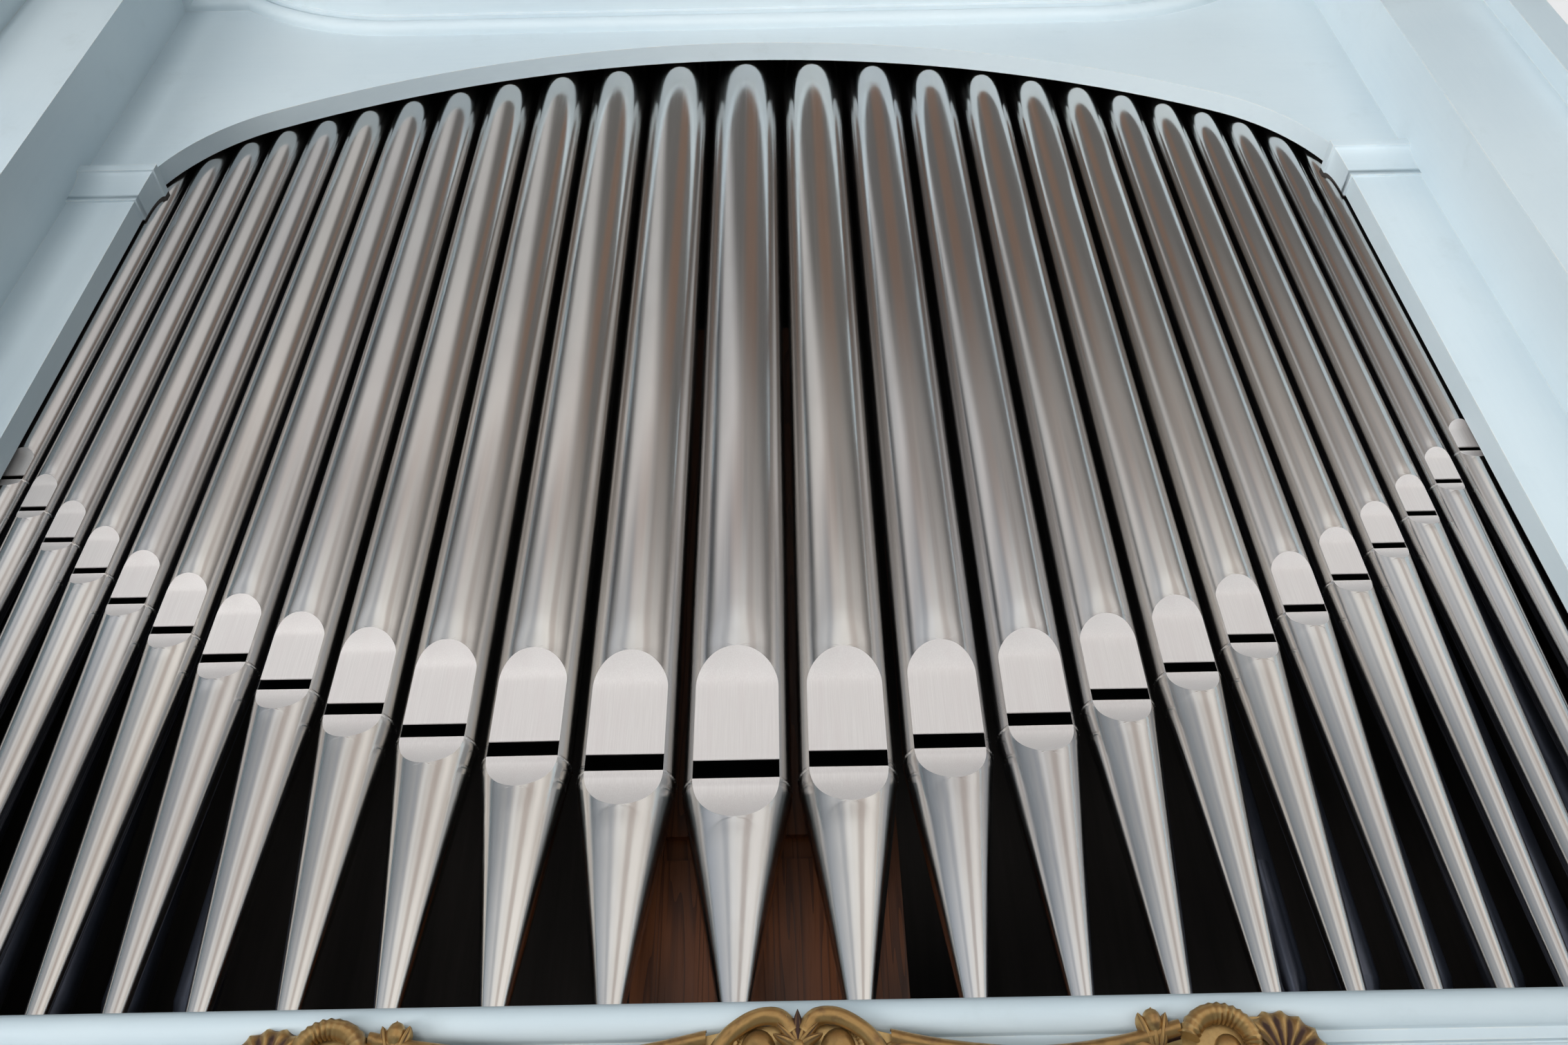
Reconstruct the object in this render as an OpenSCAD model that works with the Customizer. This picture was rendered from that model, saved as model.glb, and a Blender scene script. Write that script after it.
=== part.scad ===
// Pipe organ with a flat facade of 25 flue pipes in a painted and moulded case.
// Everything is set out from the pipe line, the line on which the facade pipes stand,
// and then moved so that the origin is at the middle of the footprint.
// X runs along the facade, Y runs from the front to the back and Z is up.

/* [Opening] */
// Width of the opening between the two stiles
opening_w = 2592; // [2560:1:2700]
// Width of each stile
stile_w = 145; // [100:1:200]
// Thickness of the stiles and of the arched panel
panel_t = 46; // [30:1:60]
// Clearance between the widest pipe and the back of the arched panel
panel_clearance = 4.75; // [4:0.25:30]

/* [Arch] */
// Height of the springing of the arch above the floor
spring_z = 4005; // [3900:1:4100]
// Height of the crown of the arch above the floor
crown_z = 4523; // [4450:1:4560]
// Radius of the long middle arc
crown_r = 2300; // [2250:1:2500]
// Distance from the middle to where the haunch arc takes over
haunch_x = 1090; // [1000:1:1120]

/* [Capital] */
// Height of the capital under the springing
capital_h = 108; // [80:1:140]
// Projection of the capital from the stile
capital_out = 22; // [15:1:35]

/* [Piers] */
// Width of the inner step of each pier
inner_pier_w = 228; // [180:1:300]
// Projection of the inner step from the arched panel
inner_pier_out = 168; // [140:1:220]
// Width of the outer step of each pier
outer_pier_w = 80; // [60:1:140]
// Projection of the outer step from the inner one
outer_pier_out = 47; // [30:1:80]

/* [Case] */
// Depth of the case from the pipe line to its back
case_back = 730; // [600:1:1100]
// Thickness of the side and back walls
wall_t = 30; // [20:1:45]
// Height of the plinth
plinth_h = 180; // [120:1:240]
// Projection of the plinth from the case
plinth_out = 30; // [20:1:50]
// Thickness of the framed front of the lower case
front_t = 36; // [28:1:46]
// Number of panels across the lower front
front_panels = 4; // [3:1:6]
// Number of panels across the back
back_panels = 3; // [2:1:4]
// Thickness of the roof board
roof_t = 24; // [18:1:36]
// Width of the frame members round the panels
frame_w = 110; // [80:1:140]
// Depth of the sunk ground round each raised field
sink = 12; // [6:1:16]

/* [Impost] */
// Height of the top of the impost above the floor
impost_top = 2160; // [2100:1:2200]
// Height of the impost
impost_h = 160; // [140:1:190]
// Height of the half round on its top edge
torus_h = 44; // [36:1:52]
// Height of the fillet under the half round
fillet_h = 14; // [10:1:20]

/* [Cornice] */
// Height of the bed line over the middle of the arch
cornice_low = 4593; // [4580:1:4660]
// Height of the whole cornice
cornice_h = 150; // [130:1:180]
// Distance from the middle to the start of the upward sweep
sweep_x = 860; // [800:1:900]
// Radius of the upward sweep
sweep_r = 650; // [600:1:800]
// Distance from the middle to the end of the upward sweep
sweep_end = 1276; // [1200:1:1300]

/* [Facade pipes] */
// Outside diameter of the widest pipe
bass_d = 162; // [145:0.5:165]
// Diameter of each pipe as a share of its larger neighbour
pipe_ratio = 0.911; // [0.9:0.0005:0.925]
// Gap between neighbours
pipe_gap = 10; // [7:0.5:16]
// Thickness of the pipe metal
pipe_t = 1.6; // [1.2:0.1:2.4]
// Height of the joint between foot and body of the widest pipe
bass_joint_z = 2529; // [2500:1:2600]
// Rise of the joint from the widest pipe to the narrowest
joint_rise = 613; // [550:1:700]
// Power that shapes this rise
rise_power = 1.52; // [1.3:0.01:1.6]
// Height of the mouth as a share of its width
cut_up_share = 0.24; // [0.18:0.01:0.28]
// Height of the straight part of the upper lip as a share of the mouth width
lip_flat_share = 1.02; // [0.8:0.01:1.2]
// Height of the round top of the upper lip as a share of the mouth width
lip_round_share = 0.45; // [0.35:0.01:0.5]
// Height of the lower lip as a share of the mouth width
lower_lip_share = 0.56; // [0.45:0.01:0.65]
// Length of pipe hidden behind the arched panel
top_hidden = 190; // [170:1:260]
// Radius of the bore through a toe
toe_bore_r = 4.5; // [3:0.5:6]

/* [Windchest] */
// Thickness of the toe board
toe_board_t = 30; // [20:1:30]
// Height of the windchest behind it
chest_h = 70; // [50:1:75]
// Distance from the pipe line to the row of inner pipes
inner_row_y = 150; // [130:1:200]
// Diameter of the widest zinc pipe of the inner row
zinc_d = 62; // [50:1:70]
// Distance between zinc pipes
zinc_pitch = 105; // [90:1:112]
// Number of zinc pipes on each side
zinc_count = 6; // [4:1:6]
// Height of the short open pipe in front of them
short_pipe_top = 2453; // [2400:1:2600]
// Width of each large wooden pipe
wood_w = 146; // [110:1:150]
// Depth of each wooden pipe
wood_d = 170; // [140:1:190]
// Length of the wooden pipes
wood_l = 1500; // [1200:10:1900]

/* [Carving] */
// Half the length of the gilded carving
carving_half = 615; // [560:1:640]
// Distance of its middle from the middle of the case
carving_x = 62; // [0:1:80]
// Thickness of the carving in front of the half round
carving_t = 26; // [18:1:36]
// Distance of its top and bottom from those of the impost
carving_drop = 20; // [12:1:30]

/* [Hidden] */
$fn = 64;
arc_fn = 360;
// Number of facade pipes on each side of the widest; each is a node of its own
side_count = 12;
// Heights and lines that follow from the sizes above
bass_r = bass_d / 2;
panel_back = -(bass_r + panel_clearance);
panel_front = panel_back - panel_t;
opening_half = opening_w / 2;
pier_x = opening_half + stile_w;
outer_x = pier_x + inner_pier_w;
case_x = outer_x + outer_pier_w;
inner_front = panel_front - inner_pier_out;
outer_front = inner_front - outer_pier_out;
impost_bottom = impost_top - impost_h;
sweep_centre_z = cornice_low + sweep_r;
sweep_angle = asin((sweep_end - sweep_x) / sweep_r);
cornice_high = sweep_centre_z - sweep_r * cos(sweep_angle);
// The mitre of the cornice leans from the end of the sweep at the bed line to here at the top
mitre_x = sweep_x
    + sqrt(pow(sweep_r - cornice_h, 2) - pow(sweep_centre_z - cornice_high - cornice_h, 2));
toe_z = impost_top + toe_board_t;
mouth_width_share = PI / 4;
toe_base_r = 8.4;
toe_share = 0.12;
shoulder_share = 0.16;
flue = 1.2;
languid_t = 4;
bead_r = 1.1;
zinc_foot = 60;
zinc_taper = 0.03;
zinc_drop = 160;
zinc_rise = 40;
short_pipe_r = 15;
wood_gap = 9;
wood_mouth_z = 250;
wood_mouth_h = 40;
carving_h = impost_h - 2 * carving_drop;
carving_lift = 0.9 * carving_drop;
shell_r = 0.44 * carving_h;
scroll_w = 0.22 * carving_h;
rail_r = 0.09 * carving_h;
bud_r = 0.15 * carving_h;
palmette_r = 0.22 * carving_h;
end_lobes = 11;
bud_lobes = 7;
eps = 0.01;
reach = 6000;

// Mouldings: lists of [projection, height], from the bottom up
step = 11.25;
torus_r = torus_h / 2;
torus_out = 30;
impost_out = torus_out + torus_r;
impost_foot = 16;
impost_face = 8;
cove_out = 18;
cove_h = 40;
quirk = 4;
fillet_z = impost_h - torus_h - fillet_h;
impost_profile = concat(
    [[impost_face + 6, 0], [impost_face + 6, impost_foot], [impost_face, impost_foot]],
    [[impost_face, fillet_z - cove_h - quirk]],
    [
        for (t = [step:step:90])
            [impost_face + cove_out * sin(t), fillet_z - quirk - cove_h * cos(t)]
    ],
    [[torus_out - 8, fillet_z - quirk], [torus_out - 8, fillet_z], [torus_out, fillet_z]],
    [
        for (t = [-90 + 2 * step:step:90])
            [torus_out + torus_r * cos(t), impost_h - torus_r + torus_r * sin(t)]
    ]
);
bed_r = 20;
bed_fillet = 10;
corona_out = 85;
ogee_out = 12;
ogee_h = 19;
ogee_z = cornice_h - 48;
lip_out = 5;
top_fillet = 10;
cornice_out = corona_out + lip_out + 2 * ogee_out + 4;
cornice_profile = concat(
    [[impost_face, 0]],
    [
        for (t = [-90 + 2 * step:step:90 - 2 * step])
            [impost_face + bed_r * cos(t), bed_r + bed_r * sin(t)]
    ],
    [[12, 2 * bed_r], [30, 2 * bed_r], [30, 2 * bed_r + bed_fillet]],
    [[corona_out, 2 * bed_r + bed_fillet], [corona_out, ogee_z - 7]],
    [[corona_out + lip_out, ogee_z - 7], [corona_out + lip_out, ogee_z]],
    [
        for (t = [step:step:90])
            [corona_out + lip_out + ogee_out * (1 - cos(t)), ogee_z + ogee_h * sin(t)]
    ],
    [
        for (t = [step:step:90])
            [corona_out + lip_out + ogee_out * (1 + sin(t)), ogee_z + ogee_h * (2 - cos(t))]
    ],
    [[cornice_out, cornice_h - top_fillet], [cornice_out, cornice_h]]
);
plinth_cap = 34;
plinth_profile = [
    [plinth_out, 0],
    [plinth_out, plinth_h - plinth_cap],
    [plinth_out - 6, plinth_h - plinth_cap + 6],
    [plinth_out - 6, plinth_h - plinth_cap + 14],
    [4, plinth_h - 6],
    [4, plinth_h]
];
capital_foot = 12;
abacus_h = 21;
capital_profile = concat(
    [[5, 0], [5, capital_foot]],
    [
        for (t = [step:step:90])
            [
                5 + (capital_out - 8) * (1 - cos(t)),
                capital_foot + (capital_h - capital_foot - abacus_h) * sin(t)
            ]
    ],
    [[capital_out, capital_h - abacus_h], [capital_out, capital_h]]
);

// The pipe line is set back so that the footprint is centred on the origin
front_extent = -outer_front + cornice_out;
pipe_line_y = (front_extent - case_back) / 2;

PIPE_NODES = concat(
    ["pipe_middle"],
    [for (i = [1:side_count]) str("pipe_left_", i)],
    [for (i = [1:side_count]) str("pipe_right_", i)]
);
CASE_NODES = [
    "plinth", "lower_front", "side_wall_left", "side_wall_right", "back_wall", "roof",
    "pier_left", "pier_right", "impost", "stile_left", "stile_right",
    "capital_left", "capital_right", "arch_panel", "cornice",
    "toe_board", "windchest", "zinc_pipes", "wooden_pipes", "carving"
];

// Arch geometry: a long crown arc and a haunch arc that meets it on a common tangent
haunch_angle = asin(haunch_x / crown_r);
haunch_normal = [sin(haunch_angle), cos(haunch_angle)];
haunch_start = [haunch_x, crown_z - crown_r * (1 - cos(haunch_angle))];
haunch_chord = haunch_start - [opening_half, spring_z];
haunch_r = haunch_chord * haunch_chord / (2 * haunch_normal * haunch_chord);
haunch_centre = haunch_start - haunch_r * haunch_normal;

function arch_z(x) =
    x < haunch_x
        ? crown_z - crown_r + sqrt(pow(crown_r, 2) - pow(x, 2))
        : haunch_centre[1] + sqrt(pow(haunch_r, 2) - pow(min(x, opening_half) - haunch_centre[0], 2));

// Facade pipes: sizes by their number, counted outwards from the widest
function pipe_r(i) = bass_r * pow(pipe_ratio, i);
function pipe_x(i) = i == 0 ? 0 : pipe_x(i - 1) + pipe_r(i - 1) + pipe_r(i) + pipe_gap;
// The fronts of all the pipes lie in one plane, so the narrower ones stand further forward
function pipe_y(i) = pipe_r(i) - bass_r;
function mouth_half(i) = mouth_width_share * pipe_r(i);
function chord_y(i) = sqrt(pow(pipe_r(i), 2) - pow(mouth_half(i), 2));
function joint_z(i) = bass_joint_z + joint_rise * pow(i / side_count, rise_power);
function cut_up(i) = cut_up_share * 2 * mouth_half(i);
function toe_r(i) = toe_base_r + toe_share * pipe_r(i);
function shoulder(i) = shoulder_share * pipe_r(i);
function top_z(i) = arch_z(pipe_x(i)) + top_hidden;
function foot_r(i, s) =
    s < shoulder(i)
        ? pipe_r(i)
        : pipe_r(i) - (pipe_r(i) - toe_r(i)) * (s - shoulder(i)) / (joint_z(i) - toe_z - shoulder(i));

// Moves what is set out from the pipe line to its place over the origin
module in_case() {
    translate([0, pipe_line_y, 0]) children();
}

// A box given by its two opposite corners
module block(low, high) {
    translate(low) cube(high - low);
}

// A length along X of a section drawn in Y and Z
module run_x(x0, x1) {
    translate([x0, 0, 0]) rotate([90, 0, 90]) linear_extrude(x1 - x0) children();
}

// A depth along Y of a section drawn in X and Z
module run_y(y0, y1) {
    translate([0, y1, 0]) rotate([90, 0, 0]) linear_extrude(y1 - y0) children();
}

// A block with its front and both sides moulded, mitred at the front corners
module moulded_block(profile, x0, x1, y_front, y_back, z) {
    intersection() {
        run_y(-reach, reach)
            polygon(concat(
                [for (p = profile) [x1 + p[0], z + p[1]]],
                [for (k = [len(profile) - 1:-1:0]) [x0 - profile[k][0], z + profile[k][1]]]
            ));
        run_x(-reach, reach)
            polygon(concat(
                [for (p = profile) [y_front - p[0], z + p[1]]],
                [[y_back, z + profile[len(profile) - 1][1]], [y_back, z + profile[0][1]]]
            ));
    }
}

// The moulded steps of both piers
module moulded_piers(profile, y_back, z) {
    for (side = [0, 1]) {
        mirror([side, 0, 0]) {
            moulded_block(profile, pier_x, outer_x + outer_pier_w / 3, inner_front, y_back, z);
            moulded_block(profile, outer_x, case_x, outer_front, y_back, z);
        }
    }
}

// Stepped plan of one pier, from its bottom to its top
module pier_form(z0, z1) {
    union() {
        block([pier_x, inner_front, z0], [outer_x + eps, panel_back, z1]);
        block([outer_x, outer_front, z0], [case_x, panel_back, z1]);
    }
}

// The round lips: what is pressed in at the mouth, set back by the metal on the inside
module lip_press(i, inset) {
    r = pipe_r(i);
    half = mouth_half(i);
    flat_top = joint_z(i) + cut_up(i) + lip_flat_share * 2 * half;
    round_h = lip_round_share * 2 * half;
    lower_h = lower_lip_share * 2 * half;
    upper = [
        for (t = [0:7.5:90])
            [-sqrt(pow(r, 2) - pow(half * cos(t), 2)) + inset, flat_top + round_h * sin(t)]
    ];
    lower = [
        for (t = [90:-7.5:0])
            let (s = lower_h * sin(t))
            [-sqrt(pow(foot_r(i, s), 2) - pow(half * cos(t), 2)) + inset, joint_z(i) - s]
    ];
    run_x(-r, r)
        polygon(concat(
            [[-r - 4 + inset, joint_z(i) - 1.06 * lower_h]],
            lower,
            upper,
            [[-r - 4 + inset, flat_top + 1.06 * round_h]]
        ));
}

// A solder bead on the wall of a pipe, as points of its section
function bead(r, z) = [for (t = [-60:40:60]) [r + bead_r * cos(t) - bead_r / 2, z + bead_r * sin(t)]];

module pipe_outside(i) {
    r = pipe_r(i);
    difference() {
        rotate_extrude()
            polygon(concat(
                [[0, toe_z], [toe_r(i), toe_z]],
                bead(r, joint_z(i) - shoulder(i)),
                bead(r, joint_z(i)),
                [[r, joint_z(i) + 2 * bead_r], [r, top_z(i)], [0, top_z(i)]]
            ));
        lip_press(i, 0);
    }
}

module pipe_inside(i) {
    r = pipe_r(i) - pipe_t;
    difference() {
        rotate_extrude()
            polygon([
                [0, toe_z - 1],
                [toe_bore_r, toe_z - 1],
                [toe_bore_r, toe_z + 6],
                [toe_r(i) - 1.5 * pipe_t, toe_z + 14],
                [r, joint_z(i) - shoulder(i)],
                [r, top_z(i) + 1],
                [0, top_z(i) + 1]
            ]);
        lip_press(i, pipe_t);
    }
}

// The languid closes the foot but for the flue behind the lower lip
module languid(i) {
    intersection() {
        translate([0, 0, joint_z(i) - languid_t])
            cylinder(r = pipe_r(i) - pipe_t / 2, h = languid_t);
        block(
            [-bass_d, -chord_y(i) + pipe_t + flue, joint_z(i) - languid_t - 1],
            [bass_d, bass_d, joint_z(i) + 1]
        );
    }
}

module facade_pipe(i, side) {
    half = mouth_half(i) - 0.6;
    color("silver")
        in_case()
            translate([side * pipe_x(i), pipe_y(i), 0])
                union() {
                    difference() {
                        pipe_outside(i);
                        pipe_inside(i);
                        block(
                            [-half, -bass_d, joint_z(i)],
                            [half, -chord_y(i) + pipe_t + 1, joint_z(i) + cut_up(i)]
                        );
                    }
                    languid(i);
                }
}

// Raised fields in sunk grounds, cut into a board that faces -Y between the given corners
module sunk_panels(x0, x1, z0, z1, face_y, count) {
    pitch = (x1 - x0 - frame_w) / count;
    for (k = [0:count - 1]) {
        left = x0 + frame_w + k * pitch;
        right = left + pitch - frame_w;
        difference() {
            block([left, face_y - 1, z0 + frame_w], [right, face_y + sink, z1 - frame_w]);
            block(
                [left + frame_w / 2, face_y + sink / 3, z0 + 1.5 * frame_w],
                [right - frame_w / 2, face_y + 2 * sink, z1 - 1.5 * frame_w]
            );
        }
    }
}

module plinth() {
    color("lightsteelblue")
        in_case()
            union() {
                moulded_block(plinth_profile, -outer_x, outer_x, panel_front, case_back, 0);
                moulded_piers(plinth_profile, case_back, 0);
            }
}

module lower_front() {
    color("lightsteelblue")
        in_case()
            difference() {
                block([-pier_x, panel_front, plinth_h], [pier_x, panel_front + front_t, impost_bottom]);
                sunk_panels(-pier_x, pier_x, plinth_h, impost_bottom, panel_front, front_panels);
            }
}

module side_wall(side) {
    color("lightsteelblue")
        in_case()
            mirror([side < 0 ? 1 : 0, 0, 0])
                difference() {
                    block([case_x - wall_t, panel_back, plinth_h], [case_x, case_back, cornice_high]);
                    translate([case_x, 0, 0])
                        rotate([0, 0, 90]) {
                            sunk_panels(panel_back, case_back, plinth_h, impost_bottom, 0, 2);
                            sunk_panels(panel_back, case_back, impost_top, cornice_high, 0, 2);
                        }
                }
}

module back_wall() {
    half = case_x - wall_t;
    color("lightsteelblue")
        in_case()
            difference() {
                block([-half, case_back - wall_t, plinth_h], [half, case_back, cornice_high]);
                translate([0, case_back, 0])
                    rotate([0, 0, 180]) {
                        sunk_panels(-half, half, plinth_h, impost_bottom, 0, back_panels);
                        sunk_panels(-half, half, impost_top, cornice_high, 0, back_panels);
                    }
            }
}

// The roof board lies on the walls, inside the cornice
module roof() {
    color("lightsteelblue")
        in_case()
            block(
                [-case_x + wall_t, panel_back, cornice_high],
                [case_x - wall_t, case_back, cornice_high + roof_t]
            );
}

module pier(side) {
    color("lightsteelblue")
        in_case()
            mirror([side < 0 ? 1 : 0, 0, 0])
                pier_form(plinth_h, cornice_high);
}

module impost() {
    color("lightsteelblue")
        in_case()
            difference() {
                union() {
                    moulded_block(impost_profile, -outer_x, outer_x, panel_front, case_back, impost_bottom);
                    moulded_piers(impost_profile, case_back, impost_bottom);
                }
                for (side = [0, 1]) {
                    mirror([side, 0, 0]) {
                        pier_form(0, reach);
                        block([case_x - wall_t, panel_back - 1, 0], [case_x, case_back + 1, reach]);
                    }
                }
                block([-case_x, case_back - wall_t, 0], [case_x, case_back + 1, reach]);
            }
}

module stile(side) {
    color("lightsteelblue")
        in_case()
            mirror([side < 0 ? 1 : 0, 0, 0])
                block(
                    [opening_half, panel_front, impost_top],
                    [pier_x, panel_back, spring_z - capital_h]
                );
}

module capital(side) {
    z = spring_z - capital_h;
    color("lightsteelblue")
        in_case()
            mirror([side < 0 ? 1 : 0, 0, 0])
                intersection() {
                    run_y(-reach, reach)
                        polygon(concat(
                            [for (p = capital_profile) [opening_half - p[0], z + p[1]]],
                            [[pier_x, z + capital_h], [pier_x, z]]
                        ));
                    run_x(-reach, reach)
                        polygon(concat(
                            [for (p = capital_profile) [panel_front - p[0], z + p[1]]],
                            [
                                for (k = [len(capital_profile) - 1:-1:0])
                                    [panel_back + capital_profile[k][0] / 2, z + capital_profile[k][1]]
                            ]
                        ));
                }
}

// What the arch takes out of the panel
module arch_opening() {
    intersection() {
        translate([0, panel_back + 1, crown_z - crown_r])
            rotate([90, 0, 0]) cylinder(r = crown_r, h = panel_t + 2, $fn = arc_fn);
        block([-haunch_x, panel_front - 1, spring_z - 1], [haunch_x, panel_back + 1, crown_z + 1]);
    }
    for (side = [0, 1]) {
        mirror([side, 0, 0])
            intersection() {
                translate([haunch_centre[0], panel_back + 1, haunch_centre[1]])
                    rotate([90, 0, 0]) cylinder(r = haunch_r, h = panel_t + 2, $fn = arc_fn);
                block(
                    [haunch_x, panel_front - 1, spring_z - 1],
                    [opening_half + 5, panel_back + 1, crown_z]
                );
            }
    }
}

// What lies over the bed line of the cornice
module over_bed_line() {
    top = cornice_high + 1;
    block([-sweep_x, panel_front - 1, cornice_low], [sweep_x, panel_back + 1, top]);
    for (side = [0, 1]) {
        mirror([side, 0, 0])
            intersection() {
                translate([sweep_x, panel_back + 1, sweep_centre_z])
                    rotate([90, 0, 0]) cylinder(r = sweep_r, h = panel_t + 2, $fn = arc_fn);
                block([sweep_x, panel_front - 1, cornice_low - 1], [sweep_end, panel_back + 1, top]);
            }
    }
}

module arch_panel() {
    color("lightsteelblue")
        in_case()
            difference() {
                block([-pier_x, panel_front, spring_z], [pier_x, panel_back, cornice_high]);
                arch_opening();
                over_bed_line();
            }
}

// The section of the cornice in front of the panel, in Y and Z, standing on the bed line
module cornice_section(z) {
    polygon(concat(
        [for (p = cornice_profile) [panel_front - p[0], z + p[1]]],
        [[panel_back, z + cornice_h], [panel_back, z]]
    ));
}

// The same section as radius and depth round the centre of the sweep
module cornice_sweep() {
    translate([sweep_x, 0, sweep_centre_z])
        rotate([90, 0, 0])
            rotate([0, 0, -90])
                rotate_extrude(angle = sweep_angle + 10, $fn = arc_fn)
                    polygon(concat(
                        [for (p = cornice_profile) [sweep_r - p[1], -panel_front + p[0]]],
                        [[sweep_r - cornice_h, -panel_back], [sweep_r, -panel_back]]
                    ));
}

// All that lies on one side of the mitre where the sweep meets the level length
module side_of_mitre(side) {
    lean = sweep_end - mitre_x;
    run_y(-reach, reach)
        polygon([
            [sweep_end + lean, cornice_high - cornice_h],
            [mitre_x, cornice_high + cornice_h],
            [mitre_x + side * reach, cornice_high + cornice_h],
            [mitre_x + side * reach, cornice_high - cornice_h]
        ]);
}

module cornice() {
    color("lightsteelblue")
        in_case()
            union() {
                run_x(-sweep_x, sweep_x) cornice_section(cornice_low);
                for (side = [0, 1]) {
                    mirror([side, 0, 0]) {
                        intersection() {
                            cornice_sweep();
                            side_of_mitre(-1);
                        }
                        intersection() {
                            run_x(mitre_x - 10, pier_x + 1) cornice_section(cornice_high);
                            side_of_mitre(1);
                        }
                        cornice_return();
                    }
                }
                moulded_piers(cornice_profile, panel_back, cornice_high);
            }
}

// The cornice goes on along the side wall to the back
module cornice_return() {
    run_y(panel_back - 1, case_back)
        polygon(concat(
            [for (p = cornice_profile) [case_x + p[0], cornice_high + p[1]]],
            [[case_x - wall_t, cornice_high + cornice_h], [case_x - wall_t, cornice_high]]
        ));
}

module toe_board() {
    half = pipe_x(side_count) + 60;
    color("burlywood")
        in_case()
            difference() {
                block([-half, panel_back + 14, impost_top], [half, bass_r - 20, toe_z]);
                for (i = [0:side_count], side = [-1, 1]) {
                    if (i > 0 || side > 0) {
                        translate([side * pipe_x(i), pipe_y(i), impost_top - 1])
                            cylinder(r = toe_bore_r, h = toe_board_t + 2);
                    }
                }
            }
}

module windchest() {
    half = pipe_x(side_count) + 100;
    color("burlywood")
        in_case()
            block([-half, bass_r, impost_top], [half, case_back - wall_t - 90, impost_top + chest_h]);
}

// Plain inner pipes stand in the windchest behind the narrow facade pipes
module zinc_pipe(r, top) {
    base = impost_top + chest_h;
    rotate_extrude()
        polygon([[0, base], [0.55 * r, base], [r, base + zinc_foot], [r, top], [0, top]]);
}

// A short open pipe of small bore stands in front of the innermost on the right
module short_pipe() {
    r = short_pipe_r;
    base = impost_top + chest_h;
    rotate_extrude()
        polygon([
            [0, base], [0.5 * r, base], [r, base + zinc_foot], [r, short_pipe_top],
            [r - pipe_t, short_pipe_top], [r - pipe_t, base + zinc_foot], [0, base + zinc_foot]
        ]);
}

module zinc_pipes() {
    outermost = pipe_x(side_count) + 25;
    color("slategray")
        in_case() {
            for (side = [-1, 1], k = [0:zinc_count - 1])
                translate([side * (outermost - k * zinc_pitch), inner_row_y, 0])
                    zinc_pipe(
                        zinc_d / 2 * (1 - zinc_taper * (zinc_count - k)),
                        spring_z - zinc_drop + zinc_rise * k
                    );
            translate([
                outermost - (zinc_count - 0.9) * zinc_pitch,
                inner_row_y - zinc_d / 2 - short_pipe_r - 2,
                0
            ])
                short_pipe();
        }
}

// A square stopped pipe of pine with its mouth to the front, its left front corner at the origin
module wooden_pipe(w, d, l) {
    difference() {
        cube([w, d, l]);
        translate([w / 4, -1, wood_mouth_z]) cube([w / 2, 14, wood_mouth_h]);
    }
}

// Two large wooden pipes and a small one stand behind the widest facade pipes
module wooden_pipes() {
    pitch = wood_w + wood_gap;
    color("sienna")
        in_case()
            translate([-wood_w - wood_gap, inner_row_y - 40, impost_top + chest_h]) {
                wooden_pipe(wood_w, wood_d, wood_l);
                translate([pitch, 0, 0]) wooden_pipe(wood_w, wood_d, wood_l);
                translate([2 * pitch, 0, 0])
                    wooden_pipe(0.6 * wood_w, 0.6 * wood_d, 0.6 * wood_l);
            }
}

// Gilded carving: a shell, a scroll and a bud at each end, a half round between, and a crest of
// two scrolls with a palmette
module carving() {
    face = panel_front - impost_out - 0.3;
    top = impost_top - carving_drop;
    shell_x = carving_half - shell_r;
    rail_half = shell_x - 0.3 * shell_r;
    board_top = impost_top - torus_h - fillet_h;
    color("goldenrod")
        in_case()
            translate([carving_x, 0, 0])
                union() {
                    block(
                        [-shell_x, face - carving_t / 2, impost_bottom + carving_lift],
                        [shell_x, panel_front - torus_out - 0.3, board_top]
                    );
                    translate([-rail_half, face - rail_r - 1, board_top + 0.4 * rail_r])
                        rotate([0, 90, 0]) cylinder(r = rail_r, h = 2 * rail_half);
                    for (side = [-1, 1]) {
                        translate([side * shell_x, face, top - shell_r])
                            carved_shell(shell_r, 0.6 * carving_t, end_lobes);
                        translate([side * (shell_x - 1.5 * shell_r), face, top - shell_r])
                            carved_scroll(0.9 * shell_r);
                        translate([side * (shell_x - 3 * shell_r), face, top - 1.4 * bud_r])
                            carved_shell(bud_r, 0.8 * carving_t, bud_lobes);
                        translate([side * 0.95 * shell_r, face, top - shell_r])
                            carved_scroll(0.98 * shell_r);
                    }
                    translate([0, face, top - palmette_r])
                        carved_shell(palmette_r, carving_t, bud_lobes);
                }
}

// A disc with a lobed edge, of that radius and thickness, on the face
module carved_shell(r, t, lobes) {
    lobe_r = 1.2 * r * sin(180 / lobes);
    run_y(-t, 0) {
        circle(r = 0.86 * r);
        for (k = [0:lobes - 1]) {
            rotate(360 / lobes * k) translate([r - lobe_r, 0]) circle(r = lobe_r);
        }
    }
}

// A ring on the face, of that radius outside, with both its edges sloping
module carved_scroll(r) {
    rotate([90, 0, 0])
        rotate_extrude()
            polygon([
                [r - scroll_w, 0],
                [r - 0.75 * scroll_w, carving_t],
                [r - 0.3 * scroll_w, carving_t],
                [r, 0]
            ]);
}

plinth();
lower_front();
side_wall(-1);  // side_wall_left
side_wall(1);  // side_wall_right
back_wall();
roof();
pier(-1);  // pier_left
pier(1);  // pier_right
impost();
stile(-1);  // stile_left
stile(1);  // stile_right
capital(-1);  // capital_left
capital(1);  // capital_right
arch_panel();
cornice();
toe_board();
windchest();
zinc_pipes();
wooden_pipes();
carving();
facade_pipe(0, 1);  // pipe_middle
for (i = [1:side_count]) {
    facade_pipe(i, -1);
    facade_pipe(i, 1);
}
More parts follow.
